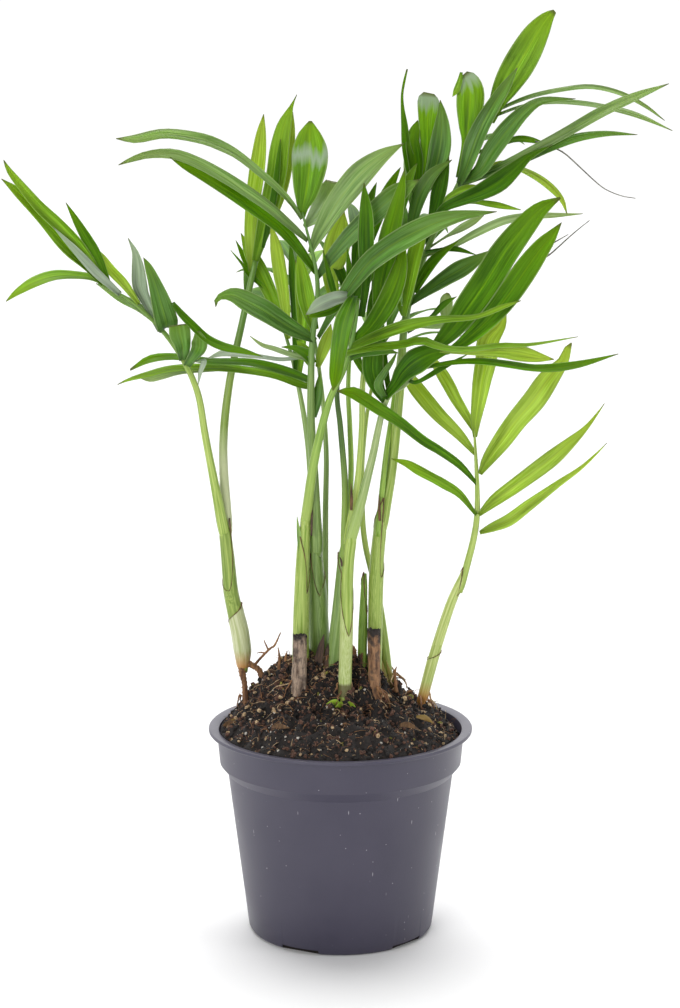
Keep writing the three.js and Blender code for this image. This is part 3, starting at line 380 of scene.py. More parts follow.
# Dead bracts, flakes and straws of old sheath, young shoots and a thin blade, at the stems' feet,
# in their mouths and on the soil: what each is, and stations of x, y, z and width.
SCRAPS = [
    ("bract", [[-10.4, -3.5, 121, 2], [-9.8, -3.5, 127, 3.4], [-8.6, -3.5, 133, 2.6],
      [-7.4, -3.5, 138.5, 0]]),
    ("bract", [[-5.8, -2, 121, 2.2], [-6, -2, 129, 2.4], [-5.6, -2, 134, 0]]),
    ("bract", [[-12.5, -6, 117, 2], [-13.4, -7, 121, 3], [-13, -7, 126, 0]]),
    ("bract", [[9, -1, 118, 2], [8.4, -1, 125, 2.4], [8.8, -1, 129, 0]]),
    ("straw", [[21, 9, 108, 2], [20.4, 8.6, 113, 3.4], [19, 8.6, 120, 1.8], [18.2, 8.6, 125, 0]]),
    ("straw", [[24.4, 9.5, 107, 1.6], [23.8, 9.2, 113, 2.6], [22, 9.2, 119, 1.2], [21, 9.2, 123, 0]]),
    ("straw", [[17.8, 8.6, 108, 1.2], [17.2, 8.2, 112, 2], [17, 8.2, 117, 0]]),
    ("shoot", [[-0.4, -15.2, 107.6, 1.4], [-2.8, -17.6, 110.6, 3], [-6.4, -20, 110.4, 0]]),
    ("shoot", [[0.6, -15.4, 107.4, 1.4], [-0.4, -18.4, 110, 2.6], [-2.4, -21, 109.2, 0]]),
    ("shoot", [[3, -15.2, 107.4, 1.4], [4.6, -17.8, 110, 2.2], [6.8, -20, 109, 0]]),
    ("blade", [[-17.8, -4, 176, 2], [-18.6, -5, 185, 1.6], [-19.4, -5.5, 193, 0]]),
    ("bract", [[-13, -4.6, 184, 0.6], [-12.8, -4.8, 191, 0.7], [-12.6, -4.8, 197.5, 0]]),
    ("flake", [[4.8, -12, 197, 1], [4.9, -12.2, 203, 1.1], [4.7, -11.8, 209, 0]]),
    ("flake", [[17.6, -0.7, 190, 0.9], [17.4, -0.7, 196, 0.9], [17.2, -0.7, 202, 0]]),
    ("bract", [[0.6, -14, 172, 0.5], [0.4, -14.4, 174.5, 0.7], [-0.4, -14.6, 176.5, 0]]),
    ("flake", [[-53.2, -3, 95.4, 1], [-50, -6, 97.6, 2.6], [-45.5, -8.5, 98.6, 0.4]]),
    ("flake", [[-52, -12, 95.6, 0.8], [-48.5, -13.5, 97.8, 2], [-44.5, -14, 98.8, 0]]),
    ("straw", [[-51, -1, 97, 0.6], [-47.5, -4, 98.6, 1.6], [-43, -5.5, 99.6, 0]]),
    ("flake", [[26, -30, 103.4, 1], [30, -31, 104, 2.4], [34.5, -33, 102.4, 0]]),
    ("straw", [[34, -20, 104.6, 0.8], [38, -22, 104.6, 2.2], [41.5, -24.5, 102.8, 0]]),
    ("flake", [[-30, -33, 104, 1], [-26.5, -35, 104.4, 2.2], [-22.5, -36, 104, 0]]),
]

# Roots that stand above the soil: stations of x, y, z and radius.
ROOTS = [
    [[-44.9, 8, 122, 2.3], [-44.8, 7.5, 117.5, 1.7], [-43.9, 7, 113, 1.3], [-43.5, 6.5, 107, 1.5],
     [-43, 6, 100, 1.8]],
    [[-42.8, 8, 122.4, 1.7], [-40, 8, 120.8, 1.4], [-37, 8, 118.5, 1.4], [-35.5, 8, 113, 1.7],
     [-34, 8, 106, 2]],
    [[-39, 8, 121.5, 0.7], [-36.2, 7, 125, 0.6], [-32, 6, 129.5, 0.5], [-30, 6, 131, 0.5],
     [-27.2, 6, 137, 0.25]],
    [[-33, 6, 129, 0.45], [-34.5, 6, 132.5, 0.3], [-34.8, 6, 133.5, 0.15]],
    [[-34, 7, 127, 0.45], [-36.5, 7, 127.4, 0.3], [-38.2, 7, 127, 0.15]],
    [[-28, 4, 118, 1], [-27.8, 4, 126, 0.6], [-28.4, 4, 130.5, 0.2]],
    [[-24.5, 2, 118, 1], [-24.9, 2, 126, 0.6], [-24.2, 2, 129.2, 0.2]],
    [[25.5, 2, 110, 0.9], [24.8, 2, 119, 0.6], [25.6, 2, 122, 0.2]],
    [[4, 4, 120, 2.2], [5.8, 4, 128, 1.7], [5, 4, 132, 0.5]],
    [[8, 2, 118, 1.8], [9, 2, 125, 1.2], [10, 2, 128.5, 0.3]],
]

# ------------------------------------------------------------------ shapes


def unit(vector):
    """A vector, or each row of a table of them, made 1 long."""
    return vector / np.linalg.norm(vector, axis=-1, keepdims=True)


def curve_through(stations, columns=3):
    """Close points along a Catmull-Rom curve through stations in millimetres, in metres."""
    knots = np.array(stations, float)[:, :columns] * MM
    knots = np.vstack([2 * knots[0] - knots[1], knots, 2 * knots[-1] - knots[-2]])
    share = np.linspace(0, 1, CURVE_STEPS, endpoint=False)[:, None]
    spans = []
    for a, b, c, d in zip(knots, knots[1:], knots[2:], knots[3:]):
        start, end = (c - a) / 2, (d - b) / 2
        bend = 3 * (c - b) - 2 * start - end
        turn = 2 * (b - c) + start + end
        spans.append(b + start * share + bend * share**2 + turn * share**3)
    return np.vstack([*spans, knots[-2:-1]])


def lengths(line):
    """How far along a line each of its points lies."""
    steps = np.linalg.norm(np.diff(line, axis=0), axis=1)
    return np.concatenate([[0], np.cumsum(steps)])


def along(line, share):
    """The points at these shares of a line's length."""
    reach = lengths(line)
    share = np.asarray(share, float) * reach[-1]
    return np.stack([np.interp(share, reach, line[:, i]) for i in range(3)], axis=-1)


def angles_round(sides):
    return np.arange(sides) * 2 * math.pi / sides


def rings_round(centres, radii, sides, start=FRONT):
    """Rings of points round a centre line. Each starts at the front and goes round by the
    right. radii holds one radius a ring, or one for each point of a ring."""
    heading = unit(np.gradient(centres, axis=0))
    front = unit(start - heading * (heading @ start)[:, None])
    right = np.cross(heading, front)
    angle = angles_round(sides)
    if radii.ndim == 1:
        radii = radii[:, None]
    out = np.cos(angle)[None, :, None] * front[:, None] + np.sin(angle)[None, :, None] * right[:, None]
    return centres[:, None] + out * radii[:, :, None]


class Bundle:
    """Many small meshes gathered into one."""

    def __init__(self):
        self.points, self.faces, self.slots, self.places = [], [], [], []
        self.count = 0

    def add(self, points, faces, slot=0, places=None):
        """Adds points (n by 3) and their faces. places (n by 4) are each point's distances
        across and along its surface in centimetres, and for a leaflet its shares of the width
        and length. For a tube the third is its distance in front of the middle."""
        points = np.asarray(points, float).reshape(-1, 3)
        self.points.append(points)
        self.faces += [[self.count + corner for corner in face] for face in faces]
        self.slots += [slot] * len(faces)
        self.places.append(np.zeros((len(points), 4)) if places is None else np.reshape(places, (-1, 4)))
        self.count += len(points)

    def tube(self, rings, slot=0, closed=True):
        """Adds a tube through rings of points, capped at both ends."""
        rows, sides = rings.shape[:2]
        faces = []
        for i in range(rows - 1):
            low, high = i * sides, (i + 1) * sides
            for j in range(sides):
                after = (j + 1) % sides
                faces.append((low + j, low + after, high + after, high + j))
        if closed:
            faces.append(tuple(reversed(range(sides))))
            faces.append(tuple((rows - 1) * sides + j for j in range(sides)))
        middle = rings.mean(axis=1)
        radius = np.linalg.norm(rings - middle[:, None], axis=2)
        angle = np.broadcast_to(angles_round(sides), (rows, sides))
        up = np.broadcast_to(lengths(middle)[:, None], (rows, sides))
        places = [radius * np.sin(angle) * TO_CM, up * TO_CM, radius * np.cos(angle) * TO_CM, up * 0]
        self.add(rings, faces, slot, np.stack(places, axis=-1))

    def piece(self, name, finishes, slot, node=None, smooth=True):
        """Makes the object of all that was added."""
        mesh = bpy.data.meshes.new(name)
        mesh.from_pydata(np.vstack(self.points).tolist(), [], self.faces)
        for finish in finishes:
            mesh.materials.append(finish)
        mesh.polygons.foreach_set("material_index", self.slots)
        mesh.polygons.foreach_set("use_smooth", [smooth] * len(self.faces))
        corners = np.zeros(len(mesh.loops), dtype=np.int32)
        mesh.loops.foreach_get("vertex_index", corners)
        places = np.vstack(self.places)[corners].astype(np.float32)
        for layer_name, columns in (("surface", places[:, :2]), ("shares", places[:, 2:])):
            layer = mesh.uv_layers.new(name=layer_name)
            layer.data.foreach_set("uv", np.ascontiguousarray(columns).ravel())
        mesh.update()
        obj = bpy.data.objects.new(name, mesh)
        bpy.context.collection.objects.link(obj)
        dress(obj, node)


def dress(obj, node=None):
    """Fixes a piece to the plant's body, and hides the solid it stands for."""
    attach(obj, "root")
    if node:
        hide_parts(node)


# ------------------------------------------------------------------ finishes


def linear(colour):
    """An sRGB hex colour as linear RGBA."""
    parts = [int(colour[i : i + 2], 16) / 255 for i in (1, 3, 5)]
    return [p / 12.92 if p <= 0.04045 else ((p + 0.055) / 1.055) ** 2.4 for p in parts] + [1.0]


def add(tree, kind, sockets=None, **settings):
    """Adds a shader node with its settings. Each of its sockets is given a value, a hex colour,
    or what feeds it: another node's socket, or a node for its first one."""
    node = tree.nodes.new("ShaderNode" + kind)
    for name, value in settings.items():
        setattr(node, name, value)
    for socket, source in (sockets or {}).items():
        if isinstance(source, bpy.types.Node):
            source = source.outputs[0]
        if isinstance(source, bpy.types.NodeSocket):
            tree.links.new(source, node.inputs[socket])
        else:
            node.inputs[socket].default_value = linear(source) if isinstance(source, str) else source
    return node


def new_finish(name):
    """A material and its empty tree."""
    finish = bpy.data.materials.new(name)
    finish.use_nodes = True
    finish.node_tree.nodes.clear()
    return finish, finish.node_tree


def shade(tree, colour, roughness, relief=None, bending=1.5):
    """Ends a material's tree in one surface. bending is its index of refraction."""
    surface = add(tree, "BsdfPrincipled", {"Base Color": colour, "Roughness": roughness, "IOR": bending})
    if relief:
        tree.links.new(relief.outputs[0], surface.inputs["Normal"])
    add(tree, "OutputMaterial", {"Surface": surface})


def mix_colour(tree, share, first, second):
    """Mixes two colours."""
    return add(tree, "Mix", {0: share, 6: first, 7: second}, data_type="RGBA").outputs[2]


def turning(tree, first, second, source, start, end, least=0.0, most=1.0):
    """One colour turning into another while a source goes from start to end. The share of the
    second goes from least to most."""
    share = add(tree, "MapRange", {"Value": source, "From Min": start, "From Max": end, "To Min": least,
                                   "To Max": most})
    return mix_colour(tree, share, first, second)


# A leaflet's skin: waxed and satin. Fine parallel veins run its length, some of them raised,
# with a pale rib down its middle and a pale edge that is partly a painted highlight. Its underside
# is paler and duller, and it lets some yellower light through. Veins are drawn about 1 mm apart,
# as they show. Painted light and shade lie on it as well: broad bands, a darker half, a darker
# foot and, on some tints, a silver sheen.
def leaf_finish(name, blade, vein, under, through, roughness, wax, painted_sheen_span=None):
    finish, tree = new_finish(name)
    surface_map = add(tree, "UVMap", uv_map="surface")
    share_map = add(tree, "UVMap", uv_map="shares")
    shares = add(tree, "SeparateXYZ", {"Vector": share_map})
    length = shares.outputs[1]
    # Shares across an underside are counted from 4, so that one map tells the two sides apart.
    below = add(tree, "Math", {0: shares, 1: 2.0}, operation="GREATER_THAN")
    moved = add(tree, "Math", {0: below, 1: -4.0}, operation="MULTIPLY")
    across = add(tree, "Math", {0: shares, 1: moved}, operation="ADD")
    off = add(tree, "Math", {0: across}, operation="ABSOLUTE")
    fine = add(tree, "Mapping", {"Vector": surface_map, "Scale": (14, 0.35, 1)})
    veins = add(tree, "TexNoise", {"Vector": fine, "Scale": 1.0, "Detail": 2.0, "Roughness": 0.6})
    broad = add(tree, "Mapping", {"Vector": surface_map, "Scale": (3.6, 0.22, 1)})
    bands = add(tree, "TexNoise", {"Vector": broad, "Scale": 1.0, "Detail": 2.0})
    colour = turning(tree, blade, vein, veins, 0.42, 0.6)
    # Broad bands along the leaflet lighten and darken it: partly its own streaked tone, partly painted light
    # and shade.
    tone_and_painted_light = add(tree, "MapRange", {"Value": bands, "From Min": 0.35, "From Max": 0.65, "To Min": 0.62,
                                  "To Max": 1.5})
    # Painted shade: one half of a folded leaflet is painted darker than the other, for the light its fold
    # keeps off.
    painted_half_shade = add(tree, "MapRange", {"Value": across, "From Min": -0.1, "From Max": 0.1, "To Min": 0.84,
                                    "To Max": 1.08})
    value = add(tree, "Math", {0: tone_and_painted_light, 1: painted_half_shade}, operation="MULTIPLY")
    colour = add(tree, "HueSaturation", {"Color": colour, "Value": value})
    # Broad patches, two or three to a leaflet.
    place = add(tree, "TexCoord").outputs["Object"]
    patches = add(tree, "TexNoise", {"Vector": place, "Scale": 55.0, "Detail": 3.0})
    colour = turning(tree, colour, vein, patches, 0.4, 0.68, 0.0, 0.55)
    # Towards the tip the tissue is younger and yellower.
    colour = turning(tree, colour, through, length, 0.55, 0.95, 0.0, 0.4)
    # The underside, then the rib down the middle and the pale edge, which is partly a painted highlight
    # along the margin.
    colour = turning(tree, colour, under, below, 0.0, 1.0, 0.0, 0.6)
    colour = turning(tree, colour, through, off, 0.02, 0.08, 0.5, 0.0)
    colour = turning(tree, colour, "#b4cc84", off, 0.88, 0.97, 0.0, 0.6)
    # Painted shade: the foot, deep in the crown, is painted the darkest, for the shade of the leaflets over
    # it.
    colour = turning(tree, colour, "#2c5010", length, 0.0, 0.25, 0.45, 0.0)
    if painted_sheen_span:
        # Painted sheen: a silver band is painted across the leaflet, ragged at both its ends, for the sky
        # its face mirrors.
        ragged = add(tree, "Math", {0: bands, 1: 0.3}, operation="MULTIPLY")
        reach = add(tree, "Math", {0: length, 1: ragged}, operation="ADD")
        begun, ended = painted_sheen_span
        start = add(tree, "MapRange", {"Value": reach, "From Min": begun + 0.12, "From Max": begun + 0.22,
                                       "To Max": 0.85})
        end = add(tree, "MapRange", {"Value": reach, "From Min": ended + 0.1, "From Max": ended + 0.2,
                                     "To Min": 1.0, "To Max": 0.0})
        painted_sheen_share = add(tree, "Math", {0: start, 1: end}, operation="MULTIPLY")
        colour = mix_colour(tree, painted_sheen_share, colour, "#a9b8a4")
    # The last of the tip dries to straw.
    colour = turning(tree, colour, "#6b6a3a", length, 0.955, 0.99, 0.0, 0.85)
    height = add(tree, "Math", {0: veins, 1: bands}, operation="ADD")
    relief = add(tree, "Bump", {"Height": height, "Strength": 0.9, "Distance": 0.0004})
    front = add(tree, "BsdfPrincipled", {"Base Color": colour, "Normal": relief, "Roughness": roughness,
                                         "IOR": 1.42, "Specular IOR Level": wax})
    light = mix_colour(tree, 0.6, colour, through)
    glow = add(tree, "BsdfTranslucent", {"Color": light})
    both = add(tree, "MixShader", {0: 0.4, 1: front, 2: glow})
    add(tree, "OutputMaterial", {"Surface": both})
    return finish


# A petiole or sheath: smooth living stem tissue with long pale streaks. Its foot has a colour of
# its own, rusty in the soil and paler where it leaves a sheath, which fades out between two heights.
def stem_finish(name, skin, streak, foot, fade=(0.104, 0.112), roughness=0.36):
    finish, tree = new_finish(name)
    surface_map = add(tree, "UVMap", uv_map="surface")
    across = add(tree, "SeparateXYZ", {"Vector": surface_map})
    share_map = add(tree, "UVMap", uv_map="shares")
    depth = add(tree, "SeparateXYZ", {"Vector": share_map})
    round_stem = add(tree, "CombineXYZ", {0: across, 1: depth, 2: across.outputs[1]})
    # Streaks are about 1 mm wide and some centimetres long.
    stretch = add(tree, "Mapping", {"Vector": round_stem, "Scale": (11, 11, 0.3)})
    streaks = add(tree, "TexNoise", {"Vector": stretch, "Scale": 1.0, "Detail": 4.0, "Roughness": 0.65})
    colour = turning(tree, skin, streak, streaks, 0.38, 0.62)
    place = add(tree, "TexCoord").outputs["Object"]
    height = add(tree, "SeparateXYZ", {"Vector": place}).outputs[2]
    colour = turning(tree, colour, foot, height, *fade, 0.8, 0.0)
    # A rib turns as green as its leaflets.
    colour = turning(tree, colour, "#44701f", height, 0.252, 0.275, 0.0, 0.75)
    relief = add(tree, "Bump", {"Height": streaks, "Strength": 0.3, "Distance": 0.0003})
    shade(tree, colour, roughness, relief, 1.42)
    return finish


# Dead tissue: the papery edge of a sheath, a bract, a root or a dry thread. Dull and streaked.
def dry_finish(name, dark, light, scale, roughness=0.75):
    finish, tree = new_finish(name)
    place = add(tree, "TexCoord").outputs["Object"]
    stretch = add(tree, "Mapping", {"Vector": place, "Scale": (1, 1, 0.22)})
    grain = add(tree, "TexNoise", {"Vector": stretch, "Scale": scale, "Detail": 5.0, "Roughness": 0.7})
    colour = turning(tree, dark, light, grain, 0.35, 0.65)
    relief = add(tree, "Bump", {"Height": grain, "Strength": 0.6, "Distance": 0.0005})
    shade(tree, colour, roughness, relief)
    return finish


# Bark of a dead stem: brown and grey streaks along it, rotted near black at the cut.
def bark_finish(name, dark, light):
    finish, tree = new_finish(name)
    place = add(tree, "TexCoord").outputs["Object"]
    stretch = add(tree, "Mapping", {"Vector": place, "Scale": (1, 1, 0.2)})
    grain = add(tree, "TexNoise", {"Vector": stretch, "Scale": 480.0, "Detail": 5.0, "Roughness": 0.7})
    colour = turning(tree, dark, light, grain, 0.36, 0.64)
    blotch = add(tree, "TexNoise", {"Vector": place, "Scale": 330.0, "Detail": 3.0})
    colour = turning(tree, colour, "#3b302c", blotch, 0.5, 0.62, 0.0, 0.7)
    split = add(tree, "SeparateXYZ", {"Vector": place})
    ragged = add(tree, "Math", {0: blotch, 1: 0.012}, operation="MULTIPLY")
    height = add(tree, "Math", {0: split.outputs[2], 1: ragged}, operation="ADD")
    colour = turning(tree, colour, "#1c1410", height, 0.1415, 0.1455)
    relief = add(tree, "Bump", {"Height": grain, "Strength": 0.8, "Distance": 0.0006})
    shade(tree, colour, 0.8, relief)
    return finish


TINTS = {
    # name: blade, vein, underside, light let through, roughness, share of full gloss, and the
    # shares of the length between which a silver sheen is painted on it
    # Each tint is partly the leaflet's own green and partly painted light: glow a painted back-lit glow,
    # grey, sheen and silver a painted sheen from the sky, and dark painted shade deep in the crown.
    "dark": ("#2c5405", "#4c8010", "#41701f", "#6a9a08", 0.36, 0.16),
    "mid": ("#3b6a03", "#5f9211", "#588a2a", "#86b00a", 0.36, 0.14),
    "fresh": ("#5e8a10", "#8cb834", "#7ca44a", "#a8ca26", 0.38, 0.18),
    "sheen": ("#648c3c", "#92b066", "#86a672", "#a2be58", 0.32, 0.46),
    "glow": ("#8aac28", "#b2ce54", "#a0bc58", "#c8dc44", 0.4, 0.22),
    "grey": ("#44741e", "#6c9844", "#6c905a", "#88ac2a", 0.32, 0.42),
    "pale": ("#88a660", "#a6bc86", "#9db386", "#b0c65c", 0.36, 0.5),
    "silver": ("#96a98e", "#b6c3b0", "#a9baa2", "#b1c692", 0.32, 0.5),
    "banded": ("#4c7a0e", "#74a424", "#7aa446", "#a0c812", 0.36, 0.2, (0.55, 0.7)),
    "topped": ("#568808", "#80b41e", "#7aa446", "#a0c812", 0.36, 0.2, (0.85, 1.3)),
}
LEAF = {name: leaf_finish("palm_leaf_" + name, *tint) for name, tint in TINTS.items()}
SKINS = {
    # name: skin, streaks, foot, the heights between which the foot fades out, roughness
    "fresh": ("#728e2c", "#a8ba62", "#b0642a"),
    "leafy": ("#5f8424", "#8fae48", "#8a6a2c"),
    "turning": ("#5f8428", "#8fae4c", "#9aae58", (0.19, 0.235)),
    "moss": ("#65802a", "#98aa54", "#b0642a"),
    "lime": ("#8ea248", "#c0cb80", "#b0642a", (0.106, 0.114)),
    "grey": ("#5f7c38", "#879f5a", "#7d7440"),
    "ashen": ("#6c8644", "#98a872", "#94ac56", (0.186, 0.212)),
    "pale": ("#8fa24a", "#bec98e", "#3e2a0c", (0.1172, 0.1186)),
    "cream": ("#9da66e", "#c8cca6", "#b0702a", (0.121, 0.129)),
    "straw": ("#8f8440", "#b8ac64", "#7a5a2a", (0.104, 0.112), 0.5),
    "dark": ("#2e4a16", "#50702a", "#86a044", (0.195, 0.225)),
    "two_tone": ("#6c8432", "#90a850", "#c3c7a2", (0.214, 0.232)),
}
STEM = {name: stem_finish("palm_stem_" + name, *skin) for name, skin in SKINS.items()}
HUSK = dry_finish("dry_sheath_edge", "#33200f", "#7a5a38", 900.0)
BRACT = dry_finish("dead_bract", "#1e130b", "#5a4230", 700.0)
BARK = {
    "stub_left": bark_finish("weathered_bark", "#47352a", "#ab9682"),
    "stub_right": bark_finish("russet_bark", "#452a1a", "#a47c58"),
}
ROOT = dry_finish("old_root", "#4a2c1c", "#9a7048", 500.0, 0.8)
THREAD = dry_finish("dry_leaf_thread", "#504e48", "#7e7c72", 500.0)

# ------------------------------------------------------------------ fronds

LEAF_ROWS = 26
LEAF_COLUMNS = np.linspace(-1, 1, 11)
LEAF_THICKNESS, LEAST_HALF_WIDTH = 0.00016, 0.00012
# Shares of a leaflet's half width: how high its edges stand at its root, how much of that they
# lose towards its middle, how far they curl down, and the depth of their waves and pleats.
FOLD, OPENING, CURL, WAVE, PLEAT = 0.6, 0.36, 0.16, 0.09, 0.05


def turned_face(frond_face, way, turn):
    """Where a leaflet's face looks: as its frond's does, turned some degrees towards the sky."""
    facing = unit(frond_face - way * (way @ frond_face))
    skyward = np.cross(facing, way)
    if skyward[2] < 0:
        skyward = -skyward
    turn = math.radians(turn)
    return math.cos(turn) * facing + math.sin(turn) * skyward


def blade(bundle, spine, share, half, facing, slot, twist):
    """A closed, pleated sheet along a spine, with the leaflet's half width at each point. It is
    0.4 mm thick at its middle and half that at its edges. It is folded sharply at its root and
    opens towards its middle, and its face twists a little as it goes."""
    heading = unit(np.gradient(spine, axis=0))
    side = unit(np.cross(heading, facing))
    face = np.cross(side, heading)
    share, half = share[:, None], half[:, None] + LEAST_HALF_WIDTH
    turned = chance.uniform(-twist, twist) * (share - 0.15)
    straight, aslant = np.cos(turned), np.sin(turned)
    side, face = side * straight + face * aslant, face * straight - side * aslant
    across = LEAF_COLUMNS[None]
    off = across * half
    fold = FOLD - OPENING * np.minimum(1, share * 2.2)
    wave = WAVE * np.sin(share * chance.uniform(8, 13) + chance.uniform(0, 6)) * across**2
    pleat = PLEAT * np.cos(across * 4 * math.pi)
    lift = half * (fold * np.abs(across) - CURL * across**2 + wave + pleat)
    sheet = spine[:, None] + side[:, None] * off[..., None] + face[:, None] * lift[..., None]
    thick = (LEAF_THICKNESS * (1.3 - 0.7 * np.abs(across)))[..., None] * face[:, None]
    rows, columns = sheet.shape[:2]
    count = rows * columns
    faces = []
    for i in range(rows - 1):
        for j in range(columns - 1):
            a = i * columns + j
            faces.append((a, a + 1, a + columns + 1, a + columns))
            faces.append((count + a, count + a + columns, count + a + columns + 1, count + a + 1))
        for j, step in ((0, 1), (columns - 1, -1)):
            a, b = i * columns + j, (i + 1) * columns + j
            faces.append((a, b, count + b, count + a)[::step])
    for i, step in ((0, -1), (rows - 1, 1)):
        for j in range(columns - 1):
            a = i * columns + j
            faces.append((a, a + 1, count + a + 1, count + a)[::step])
    flat = np.broadcast_to(across, off.shape)
    up = np.broadcast_to(share, off.shape)
    nudge = chance.uniform(0, 20)
    long = lengths(spine)[-1]
    place = np.stack([flat * half.max() * TO_CM + nudge, up * long * TO_CM + nudge, flat, up], axis=-1)
    place = place.reshape(-1, 4)
    bundle.add(np.vstack([(sheet + thick).reshape(-1, 3), (sheet - thick).reshape(-1, 3)]), faces, slot,
               np.vstack([place, place + [0, 0, 4, 0]]))


def front_leaflet(bundle, frond_face, turn, stations, slot):
    """A leaflet through stations of x, y, z and width."""
    table = curve_through(stations, 4)
    reach = lengths(table[:, :3])
    share = np.linspace(0, 1, LEAF_ROWS)
    spine = along(table[:, :3], share)
    half = np.maximum(0, np.interp(share * reach[-1], reach, table[:, 3])) / 2
    blade(bundle, spine, share, half, turned_face(frond_face, unit(spine[-1] - spine[0]), turn), slot, 0.2)


def back_leaflet(bundle, frond_face, root, reach, arch, twice_width, turn, slot):
    """A leaflet that arches from its root to its tip. It is pointed at both ends and widest near
    its middle, at 0.54 of twice_width."""
    reach = np.array(reach, float) * MM
    way = unit(reach)
    rise = unit(UP - way * (way @ UP))
    share = np.linspace(0, 1, LEAF_ROWS) ** 1.1
    spine = root + reach * share[:, None] + rise * 4 * arch * MM * (share * (1 - share))[:, None]
    half = twice_width * MM * (1.92 * (share + 0.02) ** 0.9 * (1 - share) ** 0.98) / 2
    blade(bundle, spine, share, half, turned_face(frond_face, way, turn), slot, 0.35)


def station_radius(stations, height):
    """A stem's radius at a height, both in metres."""
    table = np.array(stations, float)
    return np.interp(height, table[:, 2] * MM, table[:, 3] * MM)


def top_radius(foot):
    """Radius at the top of the stem that a petiole grows out of."""
    tops = [stations[-1] for _, stations, *_ in STEMS]
    return min(tops, key=lambda top: math.dist(top[:3], foot))[3]


# How deep a petiole's foot is sunk in its stem, how far up its swelling reaches and over what
# length its foot draws in, in millimetres. A thin petiole doesn't swell.
SUNK, SWOLLEN, DRAWN_IN, THIN = 9, 34, 4, 1.75
RIB_SIDES = 14


def rib(bundle, stations, line, foot_radius, tip_radius):
    """A petiole and rib, nearly round with a shallow groove down its upper side. A thick one
    swells to fill the stem's mouth."""
    sunk = line[0] - unit(line[4] - line[0]) * SUNK * MM
    line = np.vstack([sunk, line])
    reach = lengths(line)[-1]
    shares = np.linspace(0, 1, max(16, int(reach / (3 * MM))))
    swell = max(0.0, top_radius(stations[0]) - foot_radius) if foot_radius > THIN else 0
    past = np.maximum(0, shares * reach - SUNK * MM) / (SWOLLEN * MM)
    taper = foot_radius + (tip_radius - foot_radius) * shares**1.7
    radii = (taper + swell * np.maximum(0, 1 - past) ** 2) * MM
    # Below the mouth it draws in, so that it comes out of the stem without a step.
    radii *= 1 - 0.3 * np.maximum(0, 1 - shares * reach / (DRAWN_IN * MM))
    groove = 1 - 0.14 * np.maximum(0, np.cos(angles_round(RIB_SIDES))) ** 6
    bundle.tube(rings_round(along(line, shares), radii[:, None] * groove[None], RIB_SIDES))


for name, foot_radius, finish, face, stations, front_rows, back_rows in FRONDS:
    line = curve_through(stations)
    face = np.array(face, float)
    blades, ribs = Bundle(), Bundle()
    tints = sorted({row[0] for row in front_rows} | {row[7] for row in back_rows})
    rib(ribs, stations, line, foot_radius, THICK_TIPS.get(name, RIB_TIP))
    for tint, turn, outline in front_rows:
        front_leaflet(blades, face, turn, outline, tints.index(tint))
    for share, x, y, z, arch, twice_width, turn, tint in back_rows:
        root = along(line, share)
        back_leaflet(blades, face, root, (x, y, z), arch, twice_width, turn, tints.index(tint))
    blades.piece(name + "_leaflets", [LEAF[t] for t in tints], "frond", name)
    ribs.piece(name + "_rib", [STEM[finish]], "frond", name)

threads = Bundle()
for points in THREADS:
    line = curve_through(points)
    shares = np.linspace(0, 1, 24)
    threads.tube(rings_round(along(line, shares), (0.42 - 0.22 * shares) * MM, 5, UP))
threads.piece("leaf_threads", [THREAD], "frond")

# ------------------------------------------------------------------ stems


def mouth_height(angle, low, high, low_side, high_side, left_power, right_power):
    """Height of a sheath's mouth at angles round the stem, from its lowest side to its tip."""
    to_right = (high_side - low_side) % 360
    turned = (np.degrees(angle) - low_side) % 360
    share = np.where(turned <= to_right, (turned / to_right) ** right_power,
                     (np.maximum(0, 360 - turned) / (360 - to_right)) ** left_power)
    return low + (high - low) * share


STEM_SIDES, SHEATH_SIDES = 24, 72
# Half the thickness of a sheath's dried edge, what its tip adds to it and how uneven it is, in mm.
EDGE, EDGE_TIP, EDGE_UNEVEN = 0.13, 0.22, 0.05


